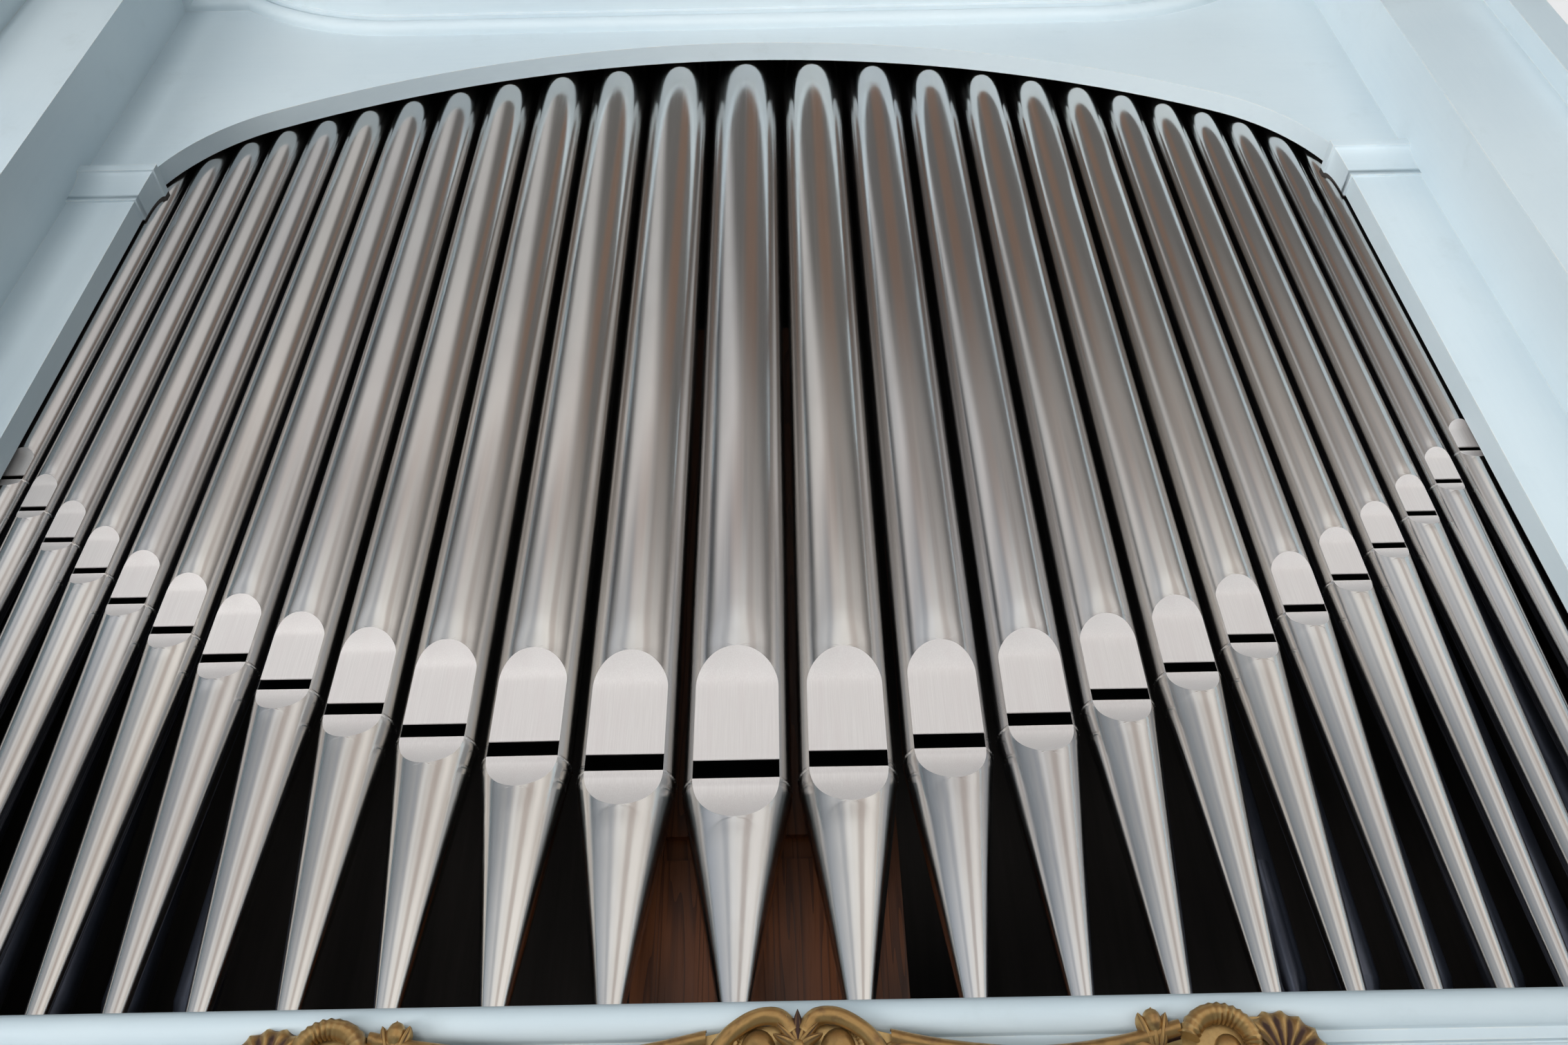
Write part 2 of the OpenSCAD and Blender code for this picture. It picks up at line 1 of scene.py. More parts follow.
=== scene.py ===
"""A pipe organ with a flat facade of 25 flue pipes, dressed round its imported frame.

Everything is in metres. X runs along the facade, Y from the front to the back, Z is up.
Sizes that the frame doesn't give are those of the part's source.
"""

import math
import random

import bmesh
import bpy
from mathutils import Matrix, Vector, noise


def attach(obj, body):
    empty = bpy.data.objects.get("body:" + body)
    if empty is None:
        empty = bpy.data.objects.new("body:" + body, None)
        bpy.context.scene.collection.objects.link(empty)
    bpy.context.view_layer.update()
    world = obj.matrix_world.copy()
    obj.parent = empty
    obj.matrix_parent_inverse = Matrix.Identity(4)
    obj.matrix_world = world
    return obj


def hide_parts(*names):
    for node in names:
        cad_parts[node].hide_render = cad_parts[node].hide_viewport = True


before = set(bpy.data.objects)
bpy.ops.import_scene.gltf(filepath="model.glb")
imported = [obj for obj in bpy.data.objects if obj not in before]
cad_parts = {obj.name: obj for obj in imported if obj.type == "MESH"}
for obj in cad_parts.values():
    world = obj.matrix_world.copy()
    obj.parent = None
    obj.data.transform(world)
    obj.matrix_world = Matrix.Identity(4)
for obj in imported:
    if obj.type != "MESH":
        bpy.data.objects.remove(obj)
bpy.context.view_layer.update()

DEGREES = 180 / math.pi
BLACK = (0.0, 0.0, 0.0, 1.0)
# Curved sections are drawn in steps of this many degrees
ARC_STEP = 7.5
# Heights closer than this are the same
SAME = 1e-6

# The case, in the part's own lines
PIPE_LINE = -0.132625
PANEL_BACK = -0.08575 + PIPE_LINE
PANEL_FRONT = -0.13175 + PIPE_LINE
INNER_FRONT = -0.29975 + PIPE_LINE
OUTER_FRONT = -0.34675 + PIPE_LINE
CASE_BACK = 0.730 + PIPE_LINE
OPENING_HALF = 1.296
PIER_X = 1.441
OUTER_X = 1.669
CASE_X = 1.749
SPRING = 4.005
CROWN = 4.523
CROWN_R = 2.300
HAUNCH_X = 1.090
CASE_WALL = 0.030
SKIN = 0.0005
EASED_R = 0.0012
CAPITAL_H = 0.108
CAPITAL_OUT = 0.022
IMPOST_TOP = 2.160
IMPOST_H = 0.160
TORUS_R = 0.022
FILLET_H = 0.014
CORNICE_LOW = 4.593
CORNICE_H = 0.150
SWEEP_X = 0.860
SWEEP_R = 0.650
SWEEP_END = 1.276
CORONA_OUT = 0.085
SWEEP_CENTRE = CORNICE_LOW + SWEEP_R
CORNICE_HIGH = SWEEP_CENTRE - math.sqrt(SWEEP_R**2 - (SWEEP_END - SWEEP_X) ** 2)

# The facade pipes; a share is of the pipe's radius or of the mouth's width
BASS_R = 0.081
PIPE_RATIO = 0.911
PIPE_GAP = 0.010
SIDE_COUNT = 12
WALL = 0.0012
TOE = 2.190
TOE_RIM = TOE + 0.003
TOE_BASE_R = 0.0084
TOE_SHARE = 0.12
BASS_JOINT = 2.529
JOINT_RISE = 0.613
RISE_POWER = 1.52
CUT_UP_SHARE = 0.24
LIP_FLAT_SHARE = 1.02
LIP_ROUND_SHARE = 0.45
LOWER_LIP_SHARE = 0.56
SHOULDER_SHARE = 0.16
# Over the upper lip the flat dies away into the round within this many half mouths
FADE_SHARE = 1.6
BEAD_HALF = 0.0030
BEAD_OUT = 0.0014
LANGUID_H = 0.004
FLUE = 0.0012
TOP_HIDDEN = 0.190


def srgb(red, green, blue):
    """A colour given as it shows on a screen, 0 to 255, as the renderer takes it."""
    values = []
    for level in (red, green, blue):
        c = level / 255
        values.append(c / 12.92 if c <= 0.04045 else ((c + 0.055) / 1.055) ** 2.4)
    return (*values, 1.0)


class Link:
    """A socket's output. Arithmetic on one that carries numbers adds Math nodes."""

    def __init__(self, nodes, socket):
        self.nodes = nodes
        self.socket = socket

    def __add__(self, other):
        return self.nodes.math("ADD", self, other)

    def __sub__(self, other):
        return self.nodes.math("SUBTRACT", self, other)

    def __rsub__(self, other):
        return self.nodes.math("SUBTRACT", other, self)

    def __mul__(self, other):
        return self.nodes.math("MULTIPLY", self, other)

    __radd__ = __add__
    __rmul__ = __mul__


class Nodes:
    """A shader node tree, with the few ways in which this script adds nodes to it."""

    def __init__(self, tree):
        self.tree = tree

    def node(self, kind, settings=None, inputs=None, output=0):
        """Adds a node: its settings first, then the values or links of its sockets."""
        made = self.tree.nodes.new(kind)
        for name, value in (settings or {}).items():
            setattr(made, name, value)
        for key, value in (inputs or {}).items():
            self.feed(made.inputs[key], value)
        return None if output is None else Link(self, made.outputs[output])

    def feed(self, socket, value):
        if isinstance(value, Link):
            self.tree.links.new(value.socket, socket)
        else:
            socket.default_value = value

    def math(self, operation, *values):
        return self.node("ShaderNodeMath", {"operation": operation}, dict(enumerate(values)))

    def noise(self, vector, scale, detail=3.0, roughness=0.5, distortion=0.0):
        inputs = {
            "Vector": vector,
            "Scale": scale,
            "Detail": detail,
            "Roughness": roughness,
            "Distortion": distortion,
        }
        return self.node("ShaderNodeTexNoise", None, inputs)

    def between(self, value, low, high, to_low=0.0, to_high=1.0):
        """Eases from to_low to to_high while the value goes from low to high."""
        inputs = {
            "Value": value,
            "From Min": low,
            "From Max": high,
            "To Min": to_low,
            "To Max": to_high,
        }
        return self.node("ShaderNodeMapRange", {"interpolation_type": "SMOOTHSTEP"}, inputs)

    def mix(self, factor, first, second):
        inputs = {0: factor, 6: first, 7: second}
        return self.node("ShaderNodeMix", {"data_type": "RGBA"}, inputs, output=2)

    def axes(self, vector):
        """The three numbers of a vector."""
        return [self.node("ShaderNodeSeparateXYZ", None, {0: vector}, output=k) for k in range(3)]

    def here(self):
        """The point on the object, in metres."""
        return self.node("ShaderNodeTexCoord", output="Object")

    def ray_is(self, kind):
        """1 for a ray of this kind, 0 for any other."""
        return self.node("ShaderNodeLightPath", output=f"Is {kind} Ray")


class Finish(Nodes):
    """A procedural material round one Principled shader."""

    def __init__(self, name, **constants):
        self.material = bpy.data.materials.new(name)
        self.material.use_nodes = True
        super().__init__(self.material.node_tree)
        self.shader = self.tree.nodes["Principled BSDF"]
        for socket, value in constants.items():
            self.shader.inputs[socket.replace("_", " ")].default_value = value

    def place(self, scale=(1.0, 1.0, 1.0), shift=(0.0, 0.0, 0.0)):
        """The point on the object, stretched and moved for a texture."""
        inputs = {"Vector": self.here(), "Scale": scale, "Location": shift}
        return self.node("ShaderNodeMapping", None, inputs)

    def grain(self, across, along, detail, roughness):
        """Noise with so many blotches to the metre across the pipe and along it."""
        return self.noise(self.place((across, across, along)), 1.0, detail, roughness)

    def colour(self, value):
        self.feed(self.shader.inputs["Base Color"], value)

    def roughness(self, value):
        self.feed(self.shader.inputs["Roughness"], value)

    def relief(self, height, depth):
        """Bumps of that depth, in metres, where the height goes from 0 to 1."""
        inputs = {"Height": height, "Distance": depth, "Strength": 1.0}
        bump = self.node("ShaderNodeBump", None, inputs)
        self.feed(self.shader.inputs["Normal"], bump)


def bare_shaded_inside_mask(finish):
    """1 on whatever faces the closed inside of the case, where no paint was laid on and a dark colour
    stands in as painted shade.
    """
    x, y, z = finish.axes(finish.here())
    between_sides = finish.math("LESS_THAN", finish.math("ABSOLUTE", x), CASE_X - CASE_WALL + SKIN)
    behind_front = finish.math("GREATER_THAN", y, PANEL_BACK - SKIN)
    before_back = finish.math("LESS_THAN", y, CASE_BACK - CASE_WALL + SKIN)
    under_roof = finish.math("LESS_THAN", z, CORNICE_HIGH + SKIN)
    return between_sides * behind_front * before_back * under_roof


def edge_wear_and_highlight(finish, radius):
    """0 on flat faces, rising towards 1 where an edge is rounded over by this radius."""
    rounded = finish.node("ShaderNodeBevel", {"samples": 4}, {"Radius": radius})
    true_normal = finish.node("ShaderNodeNewGeometry", output="Normal")
    inputs = {0: rounded, 1: true_normal}
    same = finish.node("ShaderNodeVectorMath", {"operation": "DOT_PRODUCT"}, inputs, output="Value")
    return finish.between(1.0 - same, 0.02, 0.25)


def case_paint(name, along):
    """Pale blue-grey eggshell paint, brushed on along one axis, soiled and chipped at edges, with edges
    painted paler as partly wear and partly a painted highlight, and the closed inside painted dark as
    shade.
    """
    finish = Finish(name, IOR=1.45)
    stretch = tuple(6.0 if axis == along else 90.0 for axis in "XYZ")
    brush = finish.noise(finish.place(stretch), 1.0, 5.0, 0.62)
    cloud = finish.noise(finish.place(), 1.7, 4.0, 0.55)
    soil = finish.noise(finish.place(shift=(3.1, 0.4, 7.7)), 9.0, 8.0, 0.68)
    soil = finish.between(soil, 0.55, 0.78)
    tone = finish.mix(finish.between(cloud, 0.3, 0.7), srgb(210, 221, 226), srgb(201, 214, 221))
    tone = finish.mix(finish.between(brush, 0.25, 0.8) * 0.22, tone, srgb(218, 228, 231))
    tone = finish.mix(soil * 0.16, tone, srgb(163, 172, 168))

    edge = edge_wear_and_highlight(finish, 0.004)
    flake = finish.noise(finish.place(shift=(1.0, 8.0, 2.0)), 26.0, 6.0, 0.7)
    chip = finish.between(edge * 0.34 + flake, 0.80, 0.84)
    # Edges painted paler: partly rubbed paint, partly a painted highlight along the arrises.
    tone = finish.mix(edge * 0.25, tone, srgb(224, 231, 232))
    tone = finish.mix(chip, tone, srgb(232, 230, 222))

    bare_shaded_inside = bare_shaded_inside_mask(finish)
    board = finish.grain(40.0, 2.0, 5.0, 0.6)
    # The bare inside boards are coloured dark: painted shade of the closed case.
    tone = finish.mix(bare_shaded_inside, tone, finish.mix(board, srgb(84, 78, 74), srgb(58, 54, 52)))
    finish.colour(tone)
    finish.roughness(finish.between(brush, 0.2, 0.8, 0.36, 0.5) + bare_shaded_inside * 0.3)
    finish.relief(brush - chip * 1.5, 0.00025)
    return finish.material


def pipe_tin():
    """Polished tin-lead sheet: bright, with fine scratches up the pipe and soft clouding."""
    finish = Finish("pipe_tin", Metallic=1.0, Anisotropic=0.45)
    own = finish.node("ShaderNodeAttribute", {"attribute_name": "pipe_tone"}, output="Fac")
    scratch = finish.grain(900.0, 5.0, 3.0, 0.6)
    streak = finish.grain(120.0, 1.6, 4.0, 0.6)
    cloud = finish.grain(9.0, 4.0, 4.0, 0.55)
    tone = finish.mix(own, srgb(226, 224, 221), srgb(216, 216, 217))
    tone = finish.mix(finish.between(cloud, 0.35, 0.75) * 0.35, tone, srgb(205, 202, 200))
    tone = finish.mix(finish.between(streak, 0.45, 0.8) * 0.3, tone, srgb(236, 233, 228))
    finish.colour(tone)
    haze = finish.between(cloud, 0.3, 0.8, 0.0, 0.06)
    finish.roughness(finish.between(streak, 0.25, 0.8, 0.11, 0.19) + haze)
    finish.relief(scratch * 0.15 + streak, 0.00004)
    return finish.material


def lip_tin():
    """The flattened lips, scraped matt with strokes up the pipe."""
    finish = Finish("lip_tin", Metallic=0.3, IOR=1.6)
    stroke = finish.grain(1100.0, 9.0, 4.0, 0.65)
    broad = finish.grain(60.0, 6.0, 3.0, 0.5)
    tone = finish.mix(finish.between(stroke, 0.3, 0.75), srgb(213, 206, 203), srgb(226, 220, 217))
    tone = finish.mix(finish.between(broad, 0.4, 0.8) * 0.4, tone, srgb(214, 204, 202))
    finish.colour(tone)
    finish.roughness(finish.between(stroke, 0.25, 0.8, 0.42, 0.56))
    finish.relief(stroke, 0.00003)
    return finish.material


def pipe_bore():
    """The dull, unpolished inside of the pipes."""
    finish = Finish("pipe_bore", Metallic=1.0)
    cloud = finish.grain(20.0, 7.0, 5.0, 0.6)
    finish.colour(finish.mix(cloud, srgb(92, 92, 94), srgb(126, 124, 122)))
    finish.roughness(finish.between(cloud, 0.3, 0.7, 0.5, 0.7))
    return finish.material


def solder():
    """The bead of solder between foot and body."""
    finish = Finish("solder", Metallic=1.0)
    ripple = finish.noise(finish.place(), 260.0, 2.0, 0.5)
    finish.colour(finish.mix(ripple, srgb(244, 243, 241), srgb(228, 227, 226)))
    finish.roughness(finish.between(ripple, 0.3, 0.7, 0.16, 0.3))
    finish.relief(ripple, 0.0002)
    return finish.material


def inner_zinc():
    """Spun zinc of the inner pipes, blue-grey and dusty."""
    finish = Finish("inner_zinc", Metallic=0.85)
    bloom = finish.grain(14.0, 5.0, 6.0, 0.62)
    streak = finish.grain(220.0, 3.0, 3.0, 0.6)
    tone = finish.mix(finish.between(bloom, 0.3, 0.7), srgb(128, 134, 150), srgb(96, 102, 118))
    tone = finish.mix(finish.between(streak, 0.5, 0.85) * 0.4, tone, srgb(152, 156, 166))
    finish.colour(tone)
    finish.roughness(finish.between(bloom, 0.3, 0.8, 0.34, 0.55))
    finish.relief(streak, 0.00005)
    return finish.material


def grained_wood(name, pale, dark, ring_scale, gloss):
    """Quartered softwood with its grain up the pipe: rings, fine fibre and darker pores."""
    finish = Finish(name, IOR=1.5)
    wander = finish.grain(5.0, 0.5, 3.0, 0.5)
    point = finish.place((ring_scale, ring_scale, ring_scale * 0.035))
    rings = finish.noise(point, 1.0, 2.0, 0.45, 0.6)
    year = finish.math("FRACT", rings * 9.0 + wander * 2.0)
    late = finish.between(year, 0.55, 0.97)
    fibre = finish.grain(700.0, 14.0, 4.0, 0.65)
    tone = finish.mix(late * 0.75, pale, dark)
    tone = finish.mix(finish.between(fibre, 0.45, 0.75) * 0.3, tone, dark)
    finish.colour(tone)
    finish.roughness(finish.between(fibre, 0.3, 0.8, gloss, gloss + 0.16))
    finish.relief(fibre * 0.5 + late, 0.00012)
    return finish.material


def apply_finish(node_names, material):
    """Puts a material into every slot of some CAD nodes."""
    for name in node_names:
        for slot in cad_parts[name].material_slots:
            slot.material = material


def linked(name, data):
    """A new object in the scene."""
    made = bpy.data.objects.new(name, data)
    bpy.context.scene.collection.objects.link(made)
    return made


def as_mesh(shape, name):
    """Turns a finished shape into a mesh and frees it."""
    mesh = bpy.data.meshes.new(name)
    shape.to_mesh(mesh)
    shape.free()
    return mesh


def piece(name, mesh, materials, node):
    """Links a mesh as a piece that rides on the body and stands for this CAD node."""
    for material in materials:
        mesh.materials.append(material)
    made = linked(name, mesh)
    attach(made, "root")
    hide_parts(node)


def pipe_r(i):
    return BASS_R * PIPE_RATIO**i


def pipe_x(i):
    return sum(pipe_r(k) + pipe_r(k + 1) + PIPE_GAP for k in range(i))


def pipe_y(i):
    """The fronts of the pipes lie in one plane, so the narrower ones stand further forward."""
    return PIPE_LINE - BASS_R + pipe_r(i)


def mouth_half(i):
    return math.pi / 4 * pipe_r(i)


def joint_z(i):
    return BASS_JOINT + JOINT_RISE * (i / SIDE_COUNT) ** RISE_POWER


def toe_r(i):
    return TOE_BASE_R + TOE_SHARE * pipe_r(i)


def haunch_arc():
    """Centre and radius of the haunch arc, on a common tangent with the crown arc."""
    angle = math.asin(HAUNCH_X / CROWN_R)
    normal = Vector((math.sin(angle), math.cos(angle)))
    start = Vector((HAUNCH_X, CROWN - CROWN_R * (1 - math.cos(angle))))
    chord = start - Vector((OPENING_HALF, SPRING))
    radius = chord.dot(chord) / (2 * normal.dot(chord))
    return start - radius * normal, radius


def arch_z(x):
    if x < HAUNCH_X:
        return CROWN - CROWN_R + math.sqrt(CROWN_R**2 - x**2)
    centre, radius = haunch_arc()
    return centre.y + math.sqrt(radius**2 - (min(x, OPENING_HALF) - centre.x) ** 2)


class Pipe:
    """The measures of one facade pipe, and the rings of points from which it is built."""

    LIP_COLUMNS = 12
    BACK_COLUMNS = 60
    SPREAD = math.asin(math.pi / 4)

    def __init__(self, i, side, rng):
        self.i = i
        self.x = side * pipe_x(i)
        self.r = pipe_r(i)
        self.half = mouth_half(i)
        self.joint = joint_z(i)
        self.mouth_top = self.joint + CUT_UP_SHARE * 2 * self.half
        self.flat_top = self.mouth_top + LIP_FLAT_SHARE * 2 * self.half
        self.round_h = LIP_ROUND_SHARE * 2 * self.half
        self.apex = self.flat_top + self.round_h
        self.lower_h = LOWER_LIP_SHARE * 2 * self.half
        self.shoulder = SHOULDER_SHARE * self.r
        self.top = arch_z(pipe_x(i)) + TOP_HIDDEN
        self.turn = math.radians(rng.uniform(-0.5, 0.5))
        self.dent_depth = self.r * rng.uniform(0.022, 0.04)

    def radius(self, z):
        """Outside radius at a height: cylinder, shoulder, then the cone of the foot."""
        s = self.joint - z
        if s < self.shoulder:
            return self.r
        run = self.joint - TOE - self.shoulder
        return self.r - (self.r - toe_r(self.i)) * (s - self.shoulder) / run

    def dent(self, x, z):
        """How far the sheet is drawn in round the tips of both lips."""
        upper = math.exp(-(((z - self.apex) / (0.62 * self.half)) ** 2))
        lower = math.exp(-(((z - self.joint + self.lower_h) / (0.35 * self.half)) ** 2))
        across = math.exp(-((x / (0.5 * self.half)) ** 2))
        return self.dent_depth * (upper + 0.5 * lower) * across

    def rows(self):
        """Heights with the half width of the lip there, and how the front columns spread."""
        made = [(TOE, None), (TOE_RIM, None)]
        low_apex = self.joint - self.lower_h
        span = min(0.9 * self.lower_h, 0.8 * (low_apex - TOE))
        for k in range(1, 6):
            made.append((TOE_RIM + (low_apex - span - TOE_RIM) * k / 6, None))
        for q in (1.0, 0.8, 0.6, 0.42, 0.27, 0.15, 0.06, 0.015):
            made.append((low_apex - span * q, ("open", math.sqrt(1 - (1 - q) ** 2))))
        for degrees in range(90, 0, -6):
            t = math.radians(degrees)
            made.append((self.joint - self.lower_h * math.sin(t), ("lip", math.cos(t))))
        at_shoulder = math.sqrt(1 - (self.shoulder / self.lower_h) ** 2)
        made.append((self.joint - self.shoulder, ("lip", at_shoulder)))
        for rise in (-BEAD_HALF, -0.0022, -0.0011, 0.0, 0.0011, 0.0022, BEAD_HALF):
            made.append((self.joint + rise, ("lip", 1.0)))
        for k in range(7):
            made.append((self.mouth_top + (self.flat_top - self.mouth_top) * k / 6, ("lip", 1.0)))
        for degrees in range(6, 91, 6):
            t = math.radians(degrees)
            made.append((self.flat_top + self.round_h * math.sin(t), ("lip", math.cos(t))))
        span = FADE_SHARE * self.half
        for q in (0.012, 0.05, 0.11, 0.19, 0.29, 0.42, 0.58, 0.78, 1.0):
            made.append((self.apex + span * q, ("open", math.sqrt(1 - (1 - q) ** 2))))
        above = self.apex + span
        for k in range(1, 9):
            made.append((above + (self.top - above) * k / 8, None))
        return sorted(made, key=lambda row: row[0])

    def ring(self, z, spread, wall=0.0):
        """One ring of points. The lip's chord comes first, then the round back."""
        r = self.radius(z) - wall
        flat = spread is not None and spread[0] == "lip"
        if flat:
            share = spread[1]
            half = min(self.half * share, r * 0.9999)
            angle = math.asin(half / r)
        else:
            angle = self.SPREAD * (1.0 if spread is None else spread[1])
        points = []
        for k in range(self.LIP_COLUMNS + 1):
            u = 2 * k / self.LIP_COLUMNS - 1
            if flat:
                points.append(Vector((u * half, -math.sqrt(r * r - half * half), z)))
            else:
                points.append(Vector((r * math.sin(u * angle), -r * math.cos(u * angle), z)))
        bulge = self.bulge(z) if not wall else 0.0
        for k in range(1, self.BACK_COLUMNS):
            v = k / self.BACK_COLUMNS
            a = angle + v * (2 * math.pi - 2 * angle)
            fade = min(1.0, 12 * v, 12 * (1 - v))
            rr = r + bulge * fade
            points.append(Vector((rr * math.sin(a), -rr * math.cos(a), z)))
        for p in points:
            if p.y < 0:
                p.y += self.dent(p.x, z)
        return points

    def bulge(self, z):
        """The solder bead stands a little proud at the joint."""
        return BEAD_OUT * max(0.0, 1 - ((z - self.joint) / BEAD_HALF) ** 2)


# The finishes of a pipe, as the order of its materials
BODY, LIP, BORE, BEAD = range(4)


def pipe_mesh(pipe):
    """Outer skin, bore and languid of one pipe, open at the mouth."""
    shape = bmesh.new()
    tone = shape.verts.layers.float.new("pipe_tone")
    columns = pipe.LIP_COLUMNS + pipe.BACK_COLUMNS
    turn = Matrix.Rotation(pipe.turn, 3, "Z")
    centre = Vector((pipe.x, pipe_y(pipe.i), 0.0))
    share = random.Random(pipe.i * 7 + (pipe.x > 0)).random()

    def add_ring(points):
        made = []
        for p in points:
            vert = shape.verts.new(turn @ p + centre)
            vert[tone] = share
            made.append(vert)
        return made

    rows = pipe.rows()
    outer = [add_ring(pipe.ring(z, spread)) for z, spread in rows]
    kept = [k for k, row in enumerate(rows) if keep_inside(pipe, row[0])]
    inner = {k: add_ring(pipe.ring(rows[k][0], rows[k][1], WALL)) for k in kept}

    def quad(a, b, c, d, material):
        corners = []
        for v in (a, b, c, d):
            if v not in corners:
                corners.append(v)
        face = shape.faces.new(corners)
        face.material_index = material
        face.smooth = True

    def in_mouth(low, high, column):
        open_there = low >= pipe.joint - SAME and high <= pipe.mouth_top + SAME
        return column < pipe.LIP_COLUMNS and open_there

    for k in range(len(rows) - 1):
        low, high = rows[k][0], rows[k + 1][0]
        lipped = pipe.joint - pipe.lower_h - SAME <= low and high <= pipe.apex + SAME
        beaded = abs((low + high) / 2 - pipe.joint) < BEAD_HALF
        for c in range(columns):
            if in_mouth(low, high, c):
                continue
            n = (c + 1) % columns
            on_lip = c < pipe.LIP_COLUMNS and lipped
            material = LIP if on_lip else BEAD if beaded else BODY
            quad(outer[k][c], outer[k][n], outer[k + 1][n], outer[k + 1][c], material)
    for a, b in zip(kept, kept[1:]):
        for c in range(columns):
            if in_mouth(rows[a][0], rows[b][0], c):
                continue
            n = (c + 1) % columns
            quad(inner[a][n], inner[a][c], inner[b][c], inner[b][n], BORE)
    close_rims(pipe, shape, rows, outer, inner, quad)
    add_languid(pipe, shape, tone, share, turn, centre)
    bmesh.ops.remove_doubles(shape, verts=shape.verts, dist=2e-6)
    loose = [v for v in shape.verts if not v.link_faces]
    bmesh.ops.delete(shape, geom=loose, context="VERTS")
    crease(shape, 0.5)
    return as_mesh(shape, "facade_pipe")


def keep_inside(pipe, z):
    """Which heights the bore is built at: few, but both edges of the mouth among them."""
    faded = pipe.apex + FADE_SHARE * pipe.half
    wanted = (TOE, TOE_RIM, pipe.joint, pipe.mouth_top, pipe.flat_top, faded, pipe.top)
    return any(abs(z - w) < SAME for w in wanted)


def close_rims(pipe, shape, rows, outer, inner, quad):
    """The metal's edge at the toe, at the top and all round the mouth."""
    last = len(rows) - 1
    columns = len(outer[0])
    for c in range(columns):
        n = (c + 1) % columns
        quad(outer[0][n], outer[0][c], inner[0][c], inner[0][n], BODY)
        quad(outer[last][c], outer[last][n], inner[last][n], inner[last][c], BODY)
    heights = [row[0] for row in rows]
    low = heights.index(pipe.joint)
    high = heights.index(pipe.mouth_top)
    for c in range(pipe.LIP_COLUMNS):
        quad(outer[low][c], outer[low][c + 1], inner[low][c + 1], inner[low][c], LIP)
        quad(outer[high][c + 1], outer[high][c], inner[high][c], inner[high][c + 1], LIP)
    for c in (0, pipe.LIP_COLUMNS):
        edge = [outer[k][c] for k in range(low, high + 1)] + [inner[high][c], inner[low][c]]
        face = shape.faces.new(edge if c else edge[::-1])
        face.material_index = LIP


def add_languid(pipe, shape, tone, share, turn, centre):
    """The flat plate that closes the foot but for the flue behind the lower lip."""
    r = pipe.r - WALL
    front = -math.sqrt(pipe.r**2 - pipe.half**2) + WALL + FLUE
    limit = math.acos(-front / r)
    rim = []
    for k in range(49):
        a = limit + (2 * math.pi - 2 * limit) * k / 48
        rim.append((r * math.sin(a), -r * math.cos(a)))
    rings = []
    for z in (pipe.joint - LANGUID_H, pipe.joint):
        verts = []
        for x, y in rim:
            vert = shape.verts.new(turn @ Vector((x, y, z)) + centre)
            vert[tone] = share
            verts.append(vert)
        rings.append(verts)
    below, above = rings
    faces = [above[::-1], below]
    for k in range(len(rim)):
        n = (k + 1) % len(rim)
        faces.append((below[k], below[n], above[n], above[k]))
    for corners in faces:
        shape.faces.new(corners).material_index = BORE


def crease(shape, limit):
    """Sharp edges where the surface turns by more than the limit or the finish changes."""
    shape.normal_update()
    for edge in shape.edges:
        faces = edge.link_faces
        if len(faces) != 2:
            edge.smooth = False
            continue
        turned = faces[0].normal.angle(faces[1].normal, 0.0) > limit
        edge.smooth = not turned and faces[0].material_index == faces[1].material_index


def dress_pipes():
    """Replaces each facade pipe with its full mesh."""
    materials = [pipe_tin(), lip_tin(), pipe_bore(), solder()]
    rng = random.Random(25)
    for i in range(SIDE_COUNT + 1):
        for side in (-1, 1) if i else (1,):
            hand = "left" if side < 0 else "right"
            node = f"pipe_{hand}_{i}" if i else "pipe_middle"
            mesh = pipe_mesh(Pipe(i, side, rng))
            piece(f"facade_{node}", mesh, materials, node)


def eased(points):
    """Takes the sharpness off the corners of a section, as paint and handling do."""
    made = [Vector(points[0])]
    for before, at, after in zip(points, points[1:], points[2:]):
        before, at, after = Vector(before), Vector(at), Vector(after)
        into, out = at - before, after - at
        if into.angle(out, 0.0) < 0.5:
            made.append(at)
            continue
        back = min(EASED_R, 0.45 * into.length)
        ahead = min(EASED_R, 0.45 * out.length)
        first, last = at - into.normalized() * back, at + out.normalized() * ahead
        made.extend([first, (first + 2 * at + last) / 4, last])
    made.append(Vector(points[-1]))
    return made


def arc_points(centre, radius, start, end):
    """Points of a section on an arc; angles in degrees from straight out, turning up."""
    count = round(abs(end - start) / ARC_STEP)
    angles = [math.radians(start + (end - start) * k / count) for k in range(count + 1)]
    return [(centre[0] + radius * math.cos(a), centre[1] + radius * math.sin(a)) for a in angles]


def quarter_turn():
    """The sine and cosine at each step from 0 to 90 degrees."""
    angles = [math.radians(ARC_STEP * k) for k in range(round(90 / ARC_STEP) + 1)]
    return [(math.sin(a), math.cos(a)) for a in angles]


def impost_section():
    """Flat, scotia, quirk, fillet and half round, as projection and height."""
    torus_low = IMPOST_H - 2 * TORUS_R
    fillet_low = torus_low - FILLET_H
    quirk = fillet_low - 0.004
    points = [(0.014, 0.0), (0.014, 0.016), (0.008, 0.016)]
    points += [(0.008 + 0.018 * s, quirk - 0.040 * c) for s, c in quarter_turn()]
    points += [(0.022, quirk), (0.022, fillet_low), (0.030, fillet_low), (0.030, torus_low)]
    points += arc_points((0.030, IMPOST_H - TORUS_R), TORUS_R, -75, 90)
    return eased(points)


